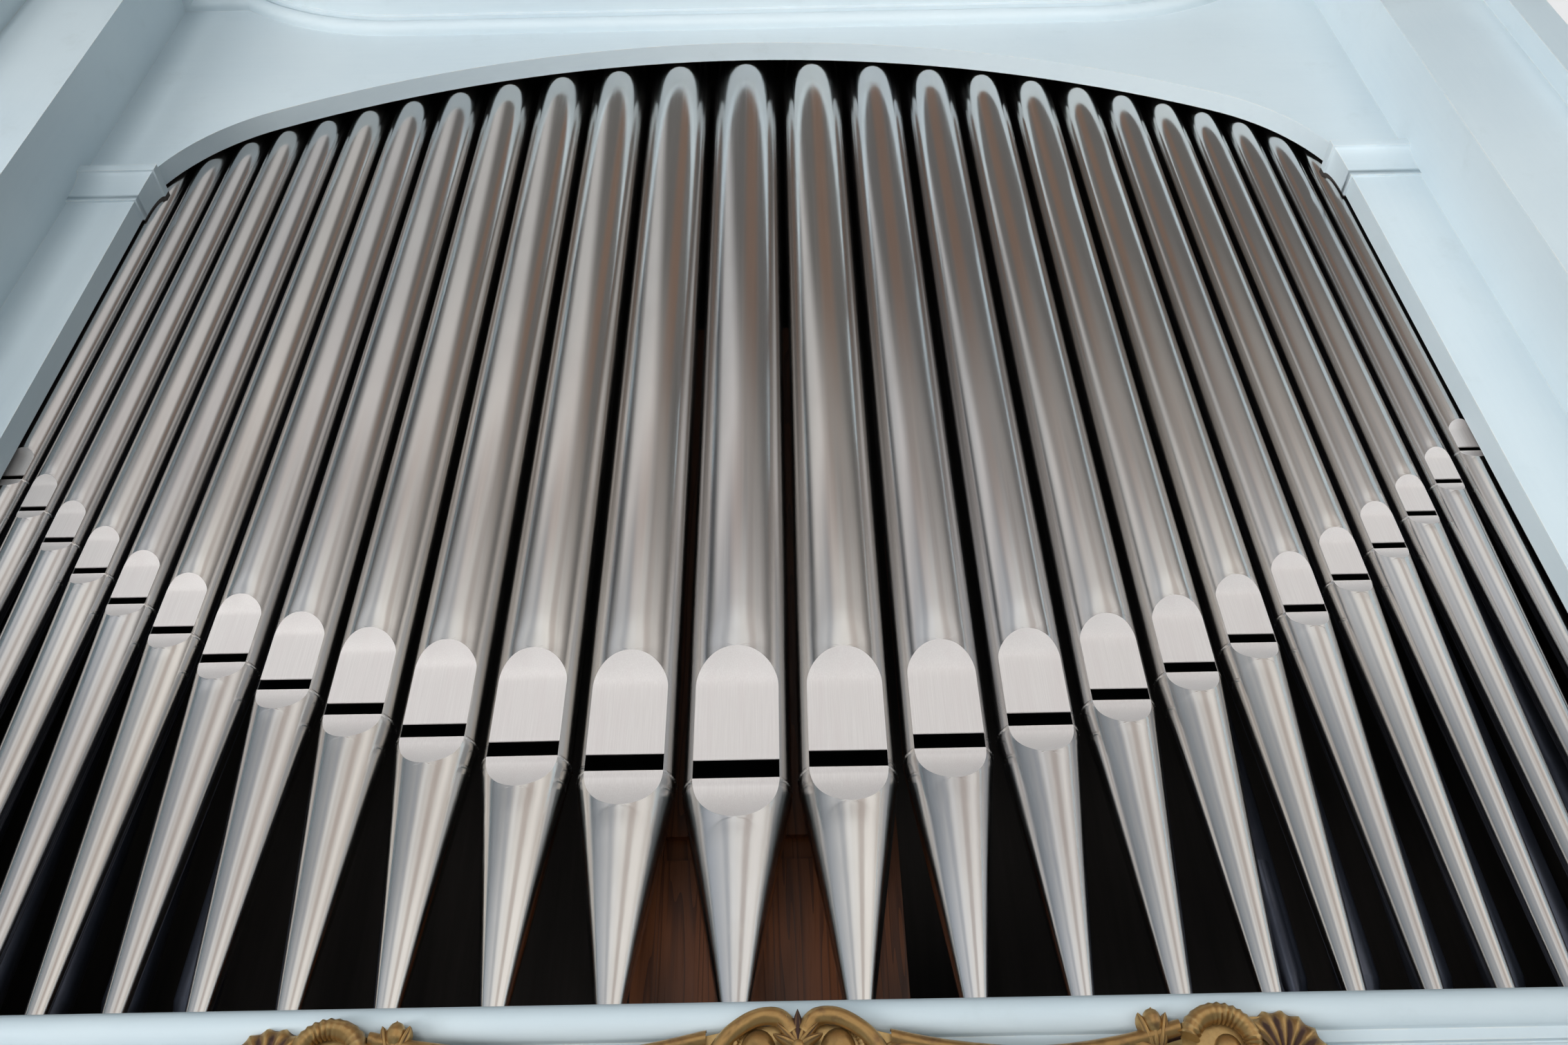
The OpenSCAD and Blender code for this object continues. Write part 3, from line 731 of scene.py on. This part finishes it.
def cornice_section():
    """Bed bead, soffit, corona and the ogee over it."""
    bed = 0.020
    corona = CORONA_OUT
    points = [(0.008, 0.0)]
    points += arc_points((0.008, bed), bed, -75, 75)
    points += [(0.012, 0.040), (0.030, 0.040), (0.030, 0.050), (corona, 0.050)]
    points += [(corona, CORNICE_H - 0.055), (corona + 0.005, CORNICE_H - 0.055)]
    out, rise = 0.012, 0.019
    low, middle = CORNICE_H - 0.048, CORNICE_H - 0.048 + rise
    points += [(corona + 0.005 + out * (1 - c), low + rise * s) for s, c in quarter_turn()]
    points += [(corona + 0.017 + out * s, middle + rise * (1 - c)) for s, c in quarter_turn()[1:]]
    points += [(0.118, CORNICE_H - 0.010), (0.118, CORNICE_H)]
    return eased(points)


def capital_section():
    """Foot fillet, cove and abacus."""
    out, rise = CAPITAL_OUT - 0.008, CAPITAL_H - 0.033
    points = [(0.005, 0.0), (0.005, 0.012)]
    points += [(0.005 + out * (1 - c), 0.012 + rise * s) for s, c in quarter_turn()]
    points += [(CAPITAL_OUT, CAPITAL_H - 0.021), (CAPITAL_OUT, CAPITAL_H)]
    return eased(points)


def station(x, y, out_x, out_y, z):
    """A place on a moulding's path: maps a section point to space, mitred by its outs."""
    return lambda p, q: Vector((x + out_x * p, y + out_y * p, z + q))


def sweep_station(share):
    """A place on the cornice's upward sweep, as a share of the way to the level part."""

    def at(p, q):
        radius = SWEEP_R - q
        a = share * math.acos((SWEEP_CENTRE - CORNICE_HIGH - q) / radius)
        x, z = SWEEP_X + radius * math.sin(a), SWEEP_CENTRE - radius * math.cos(a)
        return Vector((x, PANEL_FRONT - p, z))

    return at


def pier_stations(z, back):
    """Round the steps of the right-hand pier and back along the side of the case."""
    return [
        station(PIER_X, PANEL_FRONT, -1, -1, z),
        station(PIER_X, INNER_FRONT, -1, -1, z),
        station(OUTER_X, INNER_FRONT, -1, -1, z),
        station(OUTER_X, OUTER_FRONT, -1, -1, z),
        station(CASE_X, OUTER_FRONT, 1, -1, z),
        station(CASE_X, back, 1, 0, z),
    ]


def mirrored(stations):
    """The same places on the other side, in the order that carries the path on."""

    def flipped(at):
        return lambda p, q: Vector((-at(p, q).x, at(p, q).y, at(p, q).z))

    return [flipped(at) for at in reversed(stations)]


def moulding_mesh(name, section, stations, plate=True):
    """Sweeps a section through its stations and closes the ends, top, bottom and back."""
    shape = bmesh.new()
    rows = [[shape.verts.new(at(p, q)) for p, q in section] for at in stations]
    for row, following in zip(rows, rows[1:]):
        for k in range(len(section) - 1):
            shape.faces.new((row[k], row[k + 1], following[k + 1], following[k]))
    if plate:
        shape.faces.new([row[-1] for row in rows][::-1])
        shape.faces.new([row[0] for row in rows])
        shape.faces.new(rows[0] + rows[-1][::-1])
    else:
        for row, following in zip(rows, rows[1:]):
            shape.faces.new((row[-1], row[0], following[0], following[-1]))
        shape.faces.new(rows[0])
        shape.faces.new(rows[-1][::-1])
    bmesh.ops.recalc_face_normals(shape, faces=shape.faces)
    for face in shape.faces:
        face.smooth = True
    crease(shape, 0.42)
    return as_mesh(shape, name)


def dress_mouldings(paint):
    """The impost, cornice and capitals with full, soft-edged sections."""
    hidden = CASE_BACK - 0.001
    right = pier_stations(IMPOST_TOP - IMPOST_H, hidden)
    mesh = moulding_mesh("rail", impost_section(), mirrored(right) + right)
    piece("impost_moulding", mesh, [paint], "impost")

    thick = PANEL_BACK - PANEL_FRONT
    section = cornice_section() + [Vector((-thick, CORNICE_H)), Vector((-thick, 0.0))]
    right = [station(0.0, PANEL_FRONT, 0, -1, CORNICE_LOW)]
    right += [sweep_station(k / 24) for k in range(25)]
    right += pier_stations(CORNICE_HIGH, hidden)
    mesh = moulding_mesh("cornice", section, mirrored(right)[:-1] + right, plate=False)
    piece("cornice_moulding", mesh, [paint], "cornice")
    for side, node in ((-1, "capital_left"), (1, "capital_right")):
        z = SPRING - CAPITAL_H
        stations = [
            station(side * PIER_X, PANEL_FRONT, 0, -1, z),
            station(side * OPENING_HALF, PANEL_FRONT, -side, -1, z),
            station(side * OPENING_HALF, PANEL_BACK, -side, 0.5, z),
            station(side * PIER_X, PANEL_BACK, 0, 0.5, z),
        ]
        mesh = moulding_mesh(node, capital_section(), stations)
        piece(f"{node}_moulding", mesh, [paint], node)


# The gilded carving lies on the front of the impost; heights in it are out from this face
CARVING_FACE = PANEL_FRONT - 0.0523
CARVING_FLOOR = 2.018


def half_turn(count):
    """Angles from 0 to pi in so many steps."""
    return [math.pi * k / count for k in range(count + 1)]


def walked(path):
    """Each point of a path of (x, z), with the direction across it and the share of the way."""
    last = len(path) - 1
    for k, (x, z) in enumerate(path):
        ahead = Vector(path[min(k + 1, last)]) - Vector(path[max(k - 1, 0)])
        yield x, z, Vector((-ahead.y, ahead.x)).normalized(), k / last


class Carver:
    """Builds the carving from swept scrolls, shells, leaves and drops in one mesh."""

    def __init__(self):
        self.shape = bmesh.new()

    def point(self, x, z, height):
        return Vector((x, CARVING_FACE - height, z))

    def grid(self, rows, closed=False):
        """Joins rows of points with faces; closed joins each row's ends too."""
        made = [[self.shape.verts.new(p) for p in row] for row in rows]
        for row, following in zip(made, made[1:]):
            count = len(row)
            for k in range(count if closed else count - 1):
                n = (k + 1) % count
                self.shape.faces.new((row[k], row[n], following[n], following[k]))
        return made

    def scroll(self, path, radii, height, sides=14, ribs=0.0, rib_count=0, groove=0.0):
        """A tapering round along a path of (x, z); ribs run across it and a groove along it."""
        rows = []
        for x, z, across, share in walked(path):
            r = radii(share) * (1 + ribs * math.cos(2 * math.pi * rib_count * share))
            row = []
            for j in range(sides):
                a = 2 * math.pi * j / sides
                rr = r * (1 - groove * max(0.0, math.cos(a)) ** 6)
                side, out = rr * math.sin(a), rr * math.cos(a)
                row.append(self.point(x + across.x * side, z + across.y * side, height + out))
            rows.append(row)
        made = self.grid(rows, closed=True)
        self.shape.faces.new(made[0][::-1])
        self.shape.faces.new(made[-1])

    def drop(self, x, z, height, size_x, size_z, size_out):
        """A bead, berry or cabochon."""
        rows = []
        for k in range(1, 10):
            a = math.pi * k / 10
            wide, high = size_x * math.sin(a), size_z * math.sin(a)
            top = height + size_out * math.cos(a)
            turns = [2 * math.pi * j / 18 for j in range(18)]
            rows.append([self.point(x + wide * math.cos(b), z + high * math.sin(b), top) for b in turns])
        made = self.grid(rows, closed=True)
        self.shape.faces.new(made[0])
        self.shape.faces.new(made[-1][::-1])

    def shell(self, x, z, start, end, inner, outer, flutes, rise, squash):
        """A fan of flutes with a scalloped edge, dished towards its middle."""
        rows = []
        steps = flutes * 8
        for k in range(13):
            v = k / 12
            row = []
            for j in range(steps + 1):
                u = j / steps
                wave = abs(math.cos(math.pi * flutes * u))
                a = math.radians(start + (end - start) * u)
                edge = 1 + 0.07 * (1 - wave) * v
                r = (inner + (outer - inner) * v) * edge
                dome = math.sin(math.pi * min(1.0, 0.12 + 0.88 * v)) ** 0.6
                height = rise * (0.35 + 0.65 * v) * dome * (0.72 + 0.28 * (1 - wave) ** 0.7)
                if k == 12:
                    height = -0.004
                row.append(self.point(x + r * math.cos(a), z + squash * r * math.sin(a), height))
            rows.append(row)
        self.grid(rows)

    def leaf(self, spine, width, rise, lobes, curl, base=0.002):
        """An acanthus leaf along a spine of (x, z): lobed edges, a vein and a curled tip."""
        rows = []
        for x, z, across, t in walked(spine):
            lobe = 0.78 + 0.22 * abs(math.sin(math.pi * lobes * t))
            half = width * math.sin(math.pi * (0.06 + 0.92 * t) ** 0.8) ** 0.75 * lobe
            row = []
            for j in range(-6, 7):
                s = j / 6
                arch = math.cos(0.5 * math.pi * s) ** 0.6 if abs(s) < 1 else 0.0
                vein = -0.16 * math.exp(-((s / 0.12) ** 2)) + 0.1 * math.cos(9 * s)
                height = base + rise * (arch + vein * arch) * (0.55 + 0.45 * math.sin(math.pi * t))
                height += rise * curl * t**4
                side = s * half
                row.append(self.point(x + across.x * side, z + across.y * side, height))
            rows.append(row)
        self.grid(rows)

    def rail_strip(self, top_line):
        """The plain gilt rail between the scrolls: a round on top, a cove and a bead below."""
        rows = []
        low = CARVING_FLOOR
        for x, top in top_line:
            section = [(top, -0.004)]
            for a in half_turn(12):
                section.append((top - 0.0105 + 0.0105 * math.cos(a), 0.004 + 0.0115 * math.sin(a)))
            cove_top, cove_low = top - 0.024, low + 0.017
            section.append((cove_top + 0.001, 0.006))
            for a in half_turn(8):
                z = cove_top + (cove_low - cove_top) * (a / math.pi)
                section.append((z, 0.001 + 0.008 * (1 - math.sin(a) ** 0.7)))
            for a in half_turn(8):
                section.append((low + 0.0085 + 0.007 * math.cos(a), 0.004 + 0.008 * math.sin(a)))
            section.append((low, -0.004))
            rows.append([self.point(x, z, height) for z, height in section])
        self.grid(rows)

    def ground(self, outline, height, back):
        """A flat board of that outline, from its face back into the impost's hollow."""
        front = [self.shape.verts.new(self.point(x, z, height)) for x, z in outline]
        rear = [self.shape.verts.new(self.point(x, z, back)) for x, z in outline]
        self.shape.faces.new(front)
        self.shape.faces.new(rear[::-1])
        for k in range(len(outline)):
            n = (k + 1) % len(outline)
            self.shape.faces.new((front[k], rear[k], rear[n], front[n]))

    def finish(self, name):
        bmesh.ops.recalc_face_normals(self.shape, faces=self.shape.faces)
        for face in self.shape.faces:
            face.smooth = True
        crease(self.shape, 1.0)
        for vert in self.shape.verts:
            rough = noise.noise(vert.co * 90.0) * 0.0007 + noise.noise(vert.co * 260.0) * 0.00025
            vert.co.y += rough
        return as_mesh(self.shape, name)


def curve_points(keys, count):
    """Points on a smooth curve through the keys."""
    made = []
    spans = len(keys) - 1
    for k in range(count):
        t = k / (count - 1) * spans
        i = min(int(t), spans - 1)
        f = t - i
        p = [keys[max(0, min(spans, i + d))] for d in (-1, 0, 1, 2)]
        made.append(tuple(hermite(p[0][a], p[1][a], p[2][a], p[3][a], f) for a in (0, 1)))
    return made


def hermite(before, start, end, after, f):
    """Catmull-Rom blend of four values."""
    return 0.5 * (
        2 * start
        + (end - before) * f
        + (2 * before - 5 * start + 4 * end - after) * f * f
        + (3 * start - before - 3 * end + after) * f**3
    )


def spiral(x, z, start, end, first, last, count):
    """Points on a spiral about a middle, its angle in degrees and radius running together."""
    made = []
    for k in range(count):
        t = k / (count - 1)
        a = math.radians(start + (end - start) * t)
        r = first + (last - first) * t
        made.append((x + r * math.cos(a), z + r * math.sin(a)))
    return made


def taper(thick, thin):
    """Thickness that starts at its full and dies away to the end."""
    return lambda t: thin + (thick - thin) * math.sin(0.5 * math.pi * (1 - 0.88 * t)) ** 0.8


def carve_end(carver, x, side):
    """One end of the carving: a shell turned outwards, a ribbed C-scroll and a leafy bud."""
    hinge = x + side * 0.016
    carver.shell(hinge, 2.073, 90 - side * 190, 90 + side * 45, 0.005, 0.053, 11, 0.017, 1.08)
    carver.drop(hinge, 2.073, 0.014, 0.010, 0.010, 0.009)
    crook = spiral(x - side * 0.048, 2.088, 90 + side * 75, 90 - side * 175, 0.045, 0.021, 48)
    carver.scroll(crook, taper(0.0120, 0.006), 0.010, ribs=0.10, rib_count=22)
    carver.drop(x - side * 0.047, 2.086, 0.004, 0.016, 0.019, 0.010)
    curl = spiral(x - side * 0.084, 2.050, 90 - side * 40, 90 + side * 270, 0.026, 0.007, 40)
    carver.scroll(curl, taper(0.0085, 0.0045), 0.008, groove=0.18)
    carver.drop(x - side * 0.084, 2.050, 0.012, 0.007, 0.007, 0.007)
    bud = x - side * 0.129
    carver.drop(bud, 2.118, 0.008, 0.0115, 0.0155, 0.013)
    for lean in (-1, 0, 1):
        tip = (bud + 0.016 * lean, 2.133 - 0.006 * abs(lean))
        spine = curve_points([(bud + 0.004 * lean, 2.088), (bud + 0.010 * lean, 2.110), tip], 9)
        carver.leaf(spine, 0.009, 0.013, lobes=2, curl=0.3, base=0.004)
    for reach, drop_z in ((0.048, 2.090), (0.036, 2.072)):
        root = (bud + side * 0.018, drop_z - 0.012)
        tip = (bud - side * reach, drop_z + 0.008)
        spine = curve_points([root, (bud - side * 0.010, drop_z), tip], 13)
        carver.leaf(spine, 0.014, 0.012, lobes=4, curl=0.4)


def carve_crest(carver, x):
    """The middle: two C-scrolls round oval cabochons, a palmette between and leaves beside."""
    for side in (-1, 1):
        keys = [(0.006, 2.112), (0.022, 2.130), (0.050, 2.129), (0.082, 2.108)]
        keys += [(0.098, 2.078), (0.082, 2.048), (0.052, 2.044), (0.046, 2.060)]
        path = curve_points([(x + side * out, z) for out, z in keys], 52)
        carver.scroll(path, taper(0.0105, 0.005), 0.011, groove=0.12)
        carver.drop(x + side * 0.046, 2.094, 0.003, 0.021, 0.026, 0.011)
        carver.drop(x + side * 0.050, 2.056, 0.012, 0.008, 0.008, 0.008)
        frill = spiral(x + side * 0.046, 2.094, 90 - side * 20, 90 - side * 200, 0.030, 0.026, 36)
        carver.scroll(frill, lambda t: 0.0048, 0.006, sides=10, ribs=0.22, rib_count=17)
        for rise_z, reach in ((2.094, 0.076), (2.070, 0.100), (2.046, 0.070)):
            start = x + side * 0.092
            middle = (start + side * 0.4 * reach, rise_z)
            tip = (start + side * reach, rise_z - 0.006)
            spine = curve_points([(start, rise_z - 0.014), middle, tip], 15)
            carver.leaf(spine, 0.015, 0.013, lobes=5, curl=0.5)
    for k in range(-3, 4):
        lean = math.radians(22 * k)
        length = 0.040 - 0.003 * abs(k)
        out, up = length * math.sin(lean), length * math.cos(lean)
        keys = [(x, 2.096), (x + 0.4 * out, 2.096 + 0.5 * up), (x + out, 2.096 + up)]
        carver.leaf(curve_points(keys, 10), 0.0075, 0.010, lobes=1, curl=0.6, base=0.010)
    carver.drop(x, 2.096, 0.014, 0.008, 0.008, 0.008)
    for k, size in enumerate((0.0085, 0.0070, 0.0055, 0.0042)):
        carver.drop(x, 2.080 - 0.0145 * k, 0.010, size, size * 1.1, size)


def dress_carving():
    """Replaces the plain carving with its scrolls, shells and leaves."""
    carver = Carver()
    left = [(-0.412, 2.124), (-0.350, 2.112), (-0.230, 2.099), (-0.120, 2.101), (-0.023, 2.119)]
    right = [(0.190, 2.117), (0.260, 2.103), (0.350, 2.095), (0.440, 2.103), (0.522, 2.122)]
    for keys in (left, right):
        carver.rail_strip(curve_points(keys, 60))
    carve_end(carver, -0.511, -1)
    carve_end(carver, 0.621, 1)
    carve_crest(carver, 0.083)
    outline = [(-0.556, 2.034), (-0.562, 2.080), (-0.540, 2.112), (-0.500, 2.122), (-0.455, 2.126)]
    outline += [(-0.415, 2.118), (-0.350, 2.104), (-0.230, 2.091), (-0.120, 2.093), (0.010, 2.120)]
    outline += [(0.083, 2.126), (0.156, 2.120), (0.260, 2.095), (0.350, 2.087), (0.440, 2.095)]
    outline += [(0.525, 2.114), (0.570, 2.124), (0.620, 2.124), (0.662, 2.110), (0.672, 2.072)]
    outline += [(0.664, 2.034), (0.560, CARVING_FLOOR), (-0.450, CARVING_FLOOR)]
    carver.ground(outline[::-1], 0.003, -0.012)
    mesh = carver.finish("carving")
    piece("gilded_carving", mesh, [gilding()], "carving")


def gilding():
    """Old water gilding: rubbed on the high places, brown with dirt and size in the hollows, with a
    painted highlight of pale gold on the sharpest ridges.
    """
    finish = Finish("old_gilding")
    high = finish.between(finish.node("ShaderNodeNewGeometry", output="Pointiness"), 0.46, 0.56)
    cloud = finish.noise(finish.place(), 34.0, 6.0, 0.62)
    speck = finish.noise(finish.place(), 210.0, 3.0, 0.6)
    clean = finish.between(high * 1.1 + cloud * 0.7, 0.55, 1.2)
    tone = finish.mix(clean, srgb(62, 42, 36), srgb(190, 152, 98))
    tone = finish.mix(finish.between(cloud, 0.5, 0.7) * 0.55, tone, srgb(96, 70, 66))
    # Pale gold on the sharpest ridges: partly rubbed bright gilding, partly a painted highlight.
    tone = finish.mix(finish.between(high + speck * 0.3, 0.95, 1.25) * 0.5, tone, srgb(226, 200, 142))
    finish.colour(tone)
    finish.feed(finish.shader.inputs["Metallic"], finish.between(clean, 0.1, 0.7, 0.2, 0.85))
    finish.roughness(finish.between(clean, 0.0, 1.0, 0.6, 0.34))
    finish.relief(speck, 0.0002)
    return finish.material


def photo_camera():
    """Stands close in front of the case, tipped back to look up at the facade."""
    data = bpy.data.cameras.new("camera")
    data.sensor_width = 36.0
    data.lens = 28.87
    data.clip_start = 0.05
    data.clip_end = 200.0
    camera = linked("camera", data)
    stand = Matrix.Translation((0.083, -1.8023, 1.597))
    turn = Matrix.Rotation(math.radians(0.24), 4, "Z")
    tip = Matrix.Rotation(math.radians(90 + 41.36), 4, "X")
    roll = Matrix.Rotation(math.radians(-0.96), 4, "Z")
    camera.matrix_world = stand @ turn @ tip @ roll
    bpy.context.scene.camera = camera


def area_lamp(name, place, target, size, watts, spread):
    """A soft lamp aimed at a target; its light opens out by the spread, in degrees."""
    data = bpy.data.lights.new(name, "AREA")
    data.shape = "RECTANGLE"
    data.size, data.size_y = size
    data.energy = watts
    data.spread = math.radians(spread)
    lamp = linked(name, data)
    lamp.visible_glossy = False
    lamp.location = place
    aim = Vector(target) - Vector(place)
    lamp.rotation_euler = aim.to_track_quat("-Z", "Y").to_euler()


def far_tone(nodes):
    """What the metal mirrors far off, by direction in degrees: brown and grey above, and
    below it pale, with a darker band and upright strips."""
    direction = nodes.node("ShaderNodeTexCoord", output="Generated")
    x, y, z = nodes.axes(direction)
    azimuth = nodes.math("ARCTAN2", x, y * -1.0) * DEGREES
    elevation = nodes.math("ARCSINE", z) * DEGREES

    def strip(middle, half, soft):
        """1 across an upright strip, 0 beside it."""
        away = nodes.math("ABSOLUTE", azimuth - middle)
        return 1.0 - nodes.between(away, half - soft, half + soft)

    blotch = nodes.noise(direction, 3.2, 3.0, 0.55)
    above = nodes.mix(nodes.between(blotch, 0.40, 0.60), srgb(132, 106, 92), srgb(104, 105, 107))

    below = nodes.mix(nodes.between(azimuth, -95.0, 35.0), srgb(172, 179, 188), srgb(255, 252, 247))
    band = nodes.between(elevation, 9.0, 14.0) * (1.0 - nodes.between(elevation, 23.0, 30.0))
    shaded = nodes.mix(nodes.between(azimuth, -70.0, 30.0), srgb(140, 146, 152), srgb(222, 217, 212))
    below = nodes.mix(band, below, shaded)
    corner = nodes.between(azimuth, 25.0, 60.0) * nodes.between(elevation, 26.0, 34.0)
    below = nodes.mix(corner, below, srgb(165, 160, 156))
    below = nodes.mix(strip(26.0, 9.0, 4.0) * 0.6, below, srgb(166, 150, 142))
    below = nodes.mix(strip(-24.0, 7.0, 4.0) * 0.45, below, srgb(128, 138, 152))
    below = nodes.mix(strip(-6.0, 5.0, 3.0) * 0.5, below, srgb(250, 250, 250))
    below = nodes.mix(strip(52.0, 7.0, 4.0) * 0.6, below, srgb(255, 250, 245))
    below = nodes.mix(strip(72.0, 5.0, 3.0) * 0.35, below, srgb(176, 160, 146))

    dim = (1.0 - nodes.between(azimuth, -100.0, -62.0)) * nodes.between(elevation, 9.0, 16.0)
    below = nodes.mix(dim, below, srgb(50, 52, 56))
    return nodes.mix(nodes.between(elevation, 33.0, 46.0), below, above)


def near_tone():
    """What the pipes mirror close by: grey and brown, with a slanting bright strip.

    It thins out downwards, where the far tone takes over."""
    finish = Finish("near_tone", Base_Color=BLACK, Specular_IOR_Level=0.0, Emission_Strength=1.0)
    x, _, z = finish.axes(finish.here())
    high = finish.between(z, 3.8, 4.9)
    tone = finish.mix(high, srgb(165, 160, 156), srgb(109, 107, 105))
    streak = finish.between(x, -0.05, 0.2) * (1.0 - finish.between(x, 0.5, 0.9)) * high
    tone = finish.mix(streak * 0.7, tone, srgb(134, 107, 90))
    along = x + z * 0.28 - 0.46
    beside = finish.mix(finish.between(along, -1.1, -0.7), srgb(70, 72, 75), srgb(128, 127, 126))
    beside = finish.mix(high, srgb(150, 149, 148), beside)
    tone = finish.mix(finish.between(along, -0.25, 0.1), beside, tone)
    strip = finish.mix(high, srgb(222, 217, 214), srgb(196, 195, 194))
    width = finish.between(z, 3.8, 6.6, 0.62, 0.3)
    in_strip = 1.0 - finish.between(finish.math("ABSOLUTE", along) - width, -0.26, 0.18)
    finish.feed(finish.shader.inputs["Emission Color"], finish.mix(in_strip, tone, strip))
    finish.feed(finish.shader.inputs["Alpha"], finish.between(z, 3.5, 4.2))
    return finish.material


def stage_card(name, corners, material):
    """A plain four-cornered card that is no part of the object."""
    mesh = bpy.data.meshes.new(name)
    mesh.from_pydata(corners, [], [(0, 1, 2, 3)])
    mesh.materials.append(material)
    card = linked(name, mesh)
    return card


def mirror_card():
    """Stands in front of the case, where only mirrored rays meet it."""
    half, near, low, top = 3.4, -1.0, 3.45, 8.5
    corners = [(-half, near, low), (half, near, low), (half, near, top), (-half, near, top)]
    card = stage_card("mirror_card", corners, near_tone())
    for ray in ("camera", "diffuse", "transmission", "volume_scatter", "shadow"):
        setattr(card, f"visible_{ray}", False)


def surround():
    """A pale backdrop for the camera, the far tone for metal, and soft light for the rest."""
    world = bpy.data.worlds.new("surround")
    bpy.context.scene.world = world
    world.use_nodes = True
    nodes = Nodes(world.node_tree)
    nodes.tree.nodes.clear()
    backdrop = nodes.node("ShaderNodeBackground", None, {"Color": srgb(233, 234, 235)})
    mirrored = nodes.node("ShaderNodeBackground", None, {"Color": far_tone(nodes)})
    light = nodes.node("ShaderNodeBackground", None, {"Color": (0.76, 0.92, 1.0, 1.0), "Strength": 0.3})
    seen = nodes.math("MAXIMUM", nodes.ray_is("Camera"), nodes.ray_is("Transmission"))
    tone = nodes.node("ShaderNodeMixShader", None, {0: nodes.ray_is("Glossy"), 1: light, 2: mirrored})
    tone = nodes.node("ShaderNodeMixShader", None, {0: seen, 1: tone, 2: backdrop})
    nodes.node("ShaderNodeOutputWorld", None, {0: tone}, output=None)


def floor():
    """A wide pale floor: the camera sees it pale throughout, and it keeps the case's shadow."""
    finish = Finish("floor_finish", Roughness=0.9)
    mottle = finish.noise(finish.place(), 0.6, 3.0, 0.5)
    pale = finish.mix(mottle, srgb(238, 238, 237), srgb(230, 230, 229))
    finish.colour(finish.mix(finish.ray_is("Camera"), srgb(190, 190, 189), pale))
    far = 30.0
    corners = [(-far, -far, 0), (far, -far, 0), (far, far, 0), (-far, far, 0)]
    stage_card("floor", corners, finish.material)


def studio():
    """The floor, the surround and five soft lamps, which the metal doesn't mirror."""
    floor()
    surround()
    mirror_card()
    area_lamp("left_low", (-4.5, -3.0, 0.4), (0.8, -0.2, 4.2), (2.5, 1.5), watts=44, spread=60)
    area_lamp("left_far", (-3.0, -6.5, 2.5), (0.3, 0, 3.6), (2.5, 2.5), watts=22, spread=60)
    area_lamp("right_far", (2.6, -6.5, 3.0), (0, 0, 3.2), (4.0, 4.0), watts=15, spread=180)
    area_lamp("front_low", (-0.6, -3.2, 0.45), (0.4, 0, 4.4), (3.0, 1.2), watts=27, spread=180)
    area_lamp("right_low", (2.2, -3.5, 0.4), (1.2, -0.3, 4.2), (2.0, 1.2), watts=10, spread=60)
    bpy.context.scene.view_settings.view_transform = "Standard"


# The boards of the case, by the way in which the paint was brushed on
LEVEL_BOARDS = ("plinth", "arch_panel", "roof")
UPRIGHT_BOARDS = ("pier_left", "pier_right", "stile_left", "stile_right", "lower_front", "back_wall")
DEEP_BOARDS = ("side_wall_left", "side_wall_right")


def dress_case():
    """Paints and softens the CAD boards, and finishes the chest and the inner pipes."""
    level = case_paint("case_paint_level", "X")
    apply_finish((*LEVEL_BOARDS, "toe_board"), level)
    apply_finish(UPRIGHT_BOARDS, case_paint("case_paint_upright", "Z"))
    apply_finish(DEEP_BOARDS, case_paint("case_paint_deep", "Y"))
    chest = grained_wood("chest_oak", srgb(150, 112, 74), srgb(104, 72, 44), 22.0, 0.5)
    apply_finish(("windchest",), chest)
    pine = grained_wood("pipe_pine", srgb(112, 64, 34), srgb(62, 31, 16), 26.0, 0.38)
    apply_finish(("wooden_pipes",), pine)
    apply_finish(("zinc_pipes",), inner_zinc())
    dress_mouldings(level)
    for name in (*LEVEL_BOARDS, *UPRIGHT_BOARDS, *DEEP_BOARDS):
        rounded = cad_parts[name].modifiers.new("arris", "BEVEL")
        rounded.width = 0.0015
        rounded.segments = 2
        rounded.limit_method = "ANGLE"
        rounded.angle_limit = math.radians(40)
        rounded.harden_normals = True


photo_camera()
studio()
dress_case()
dress_pipes()
dress_carving()
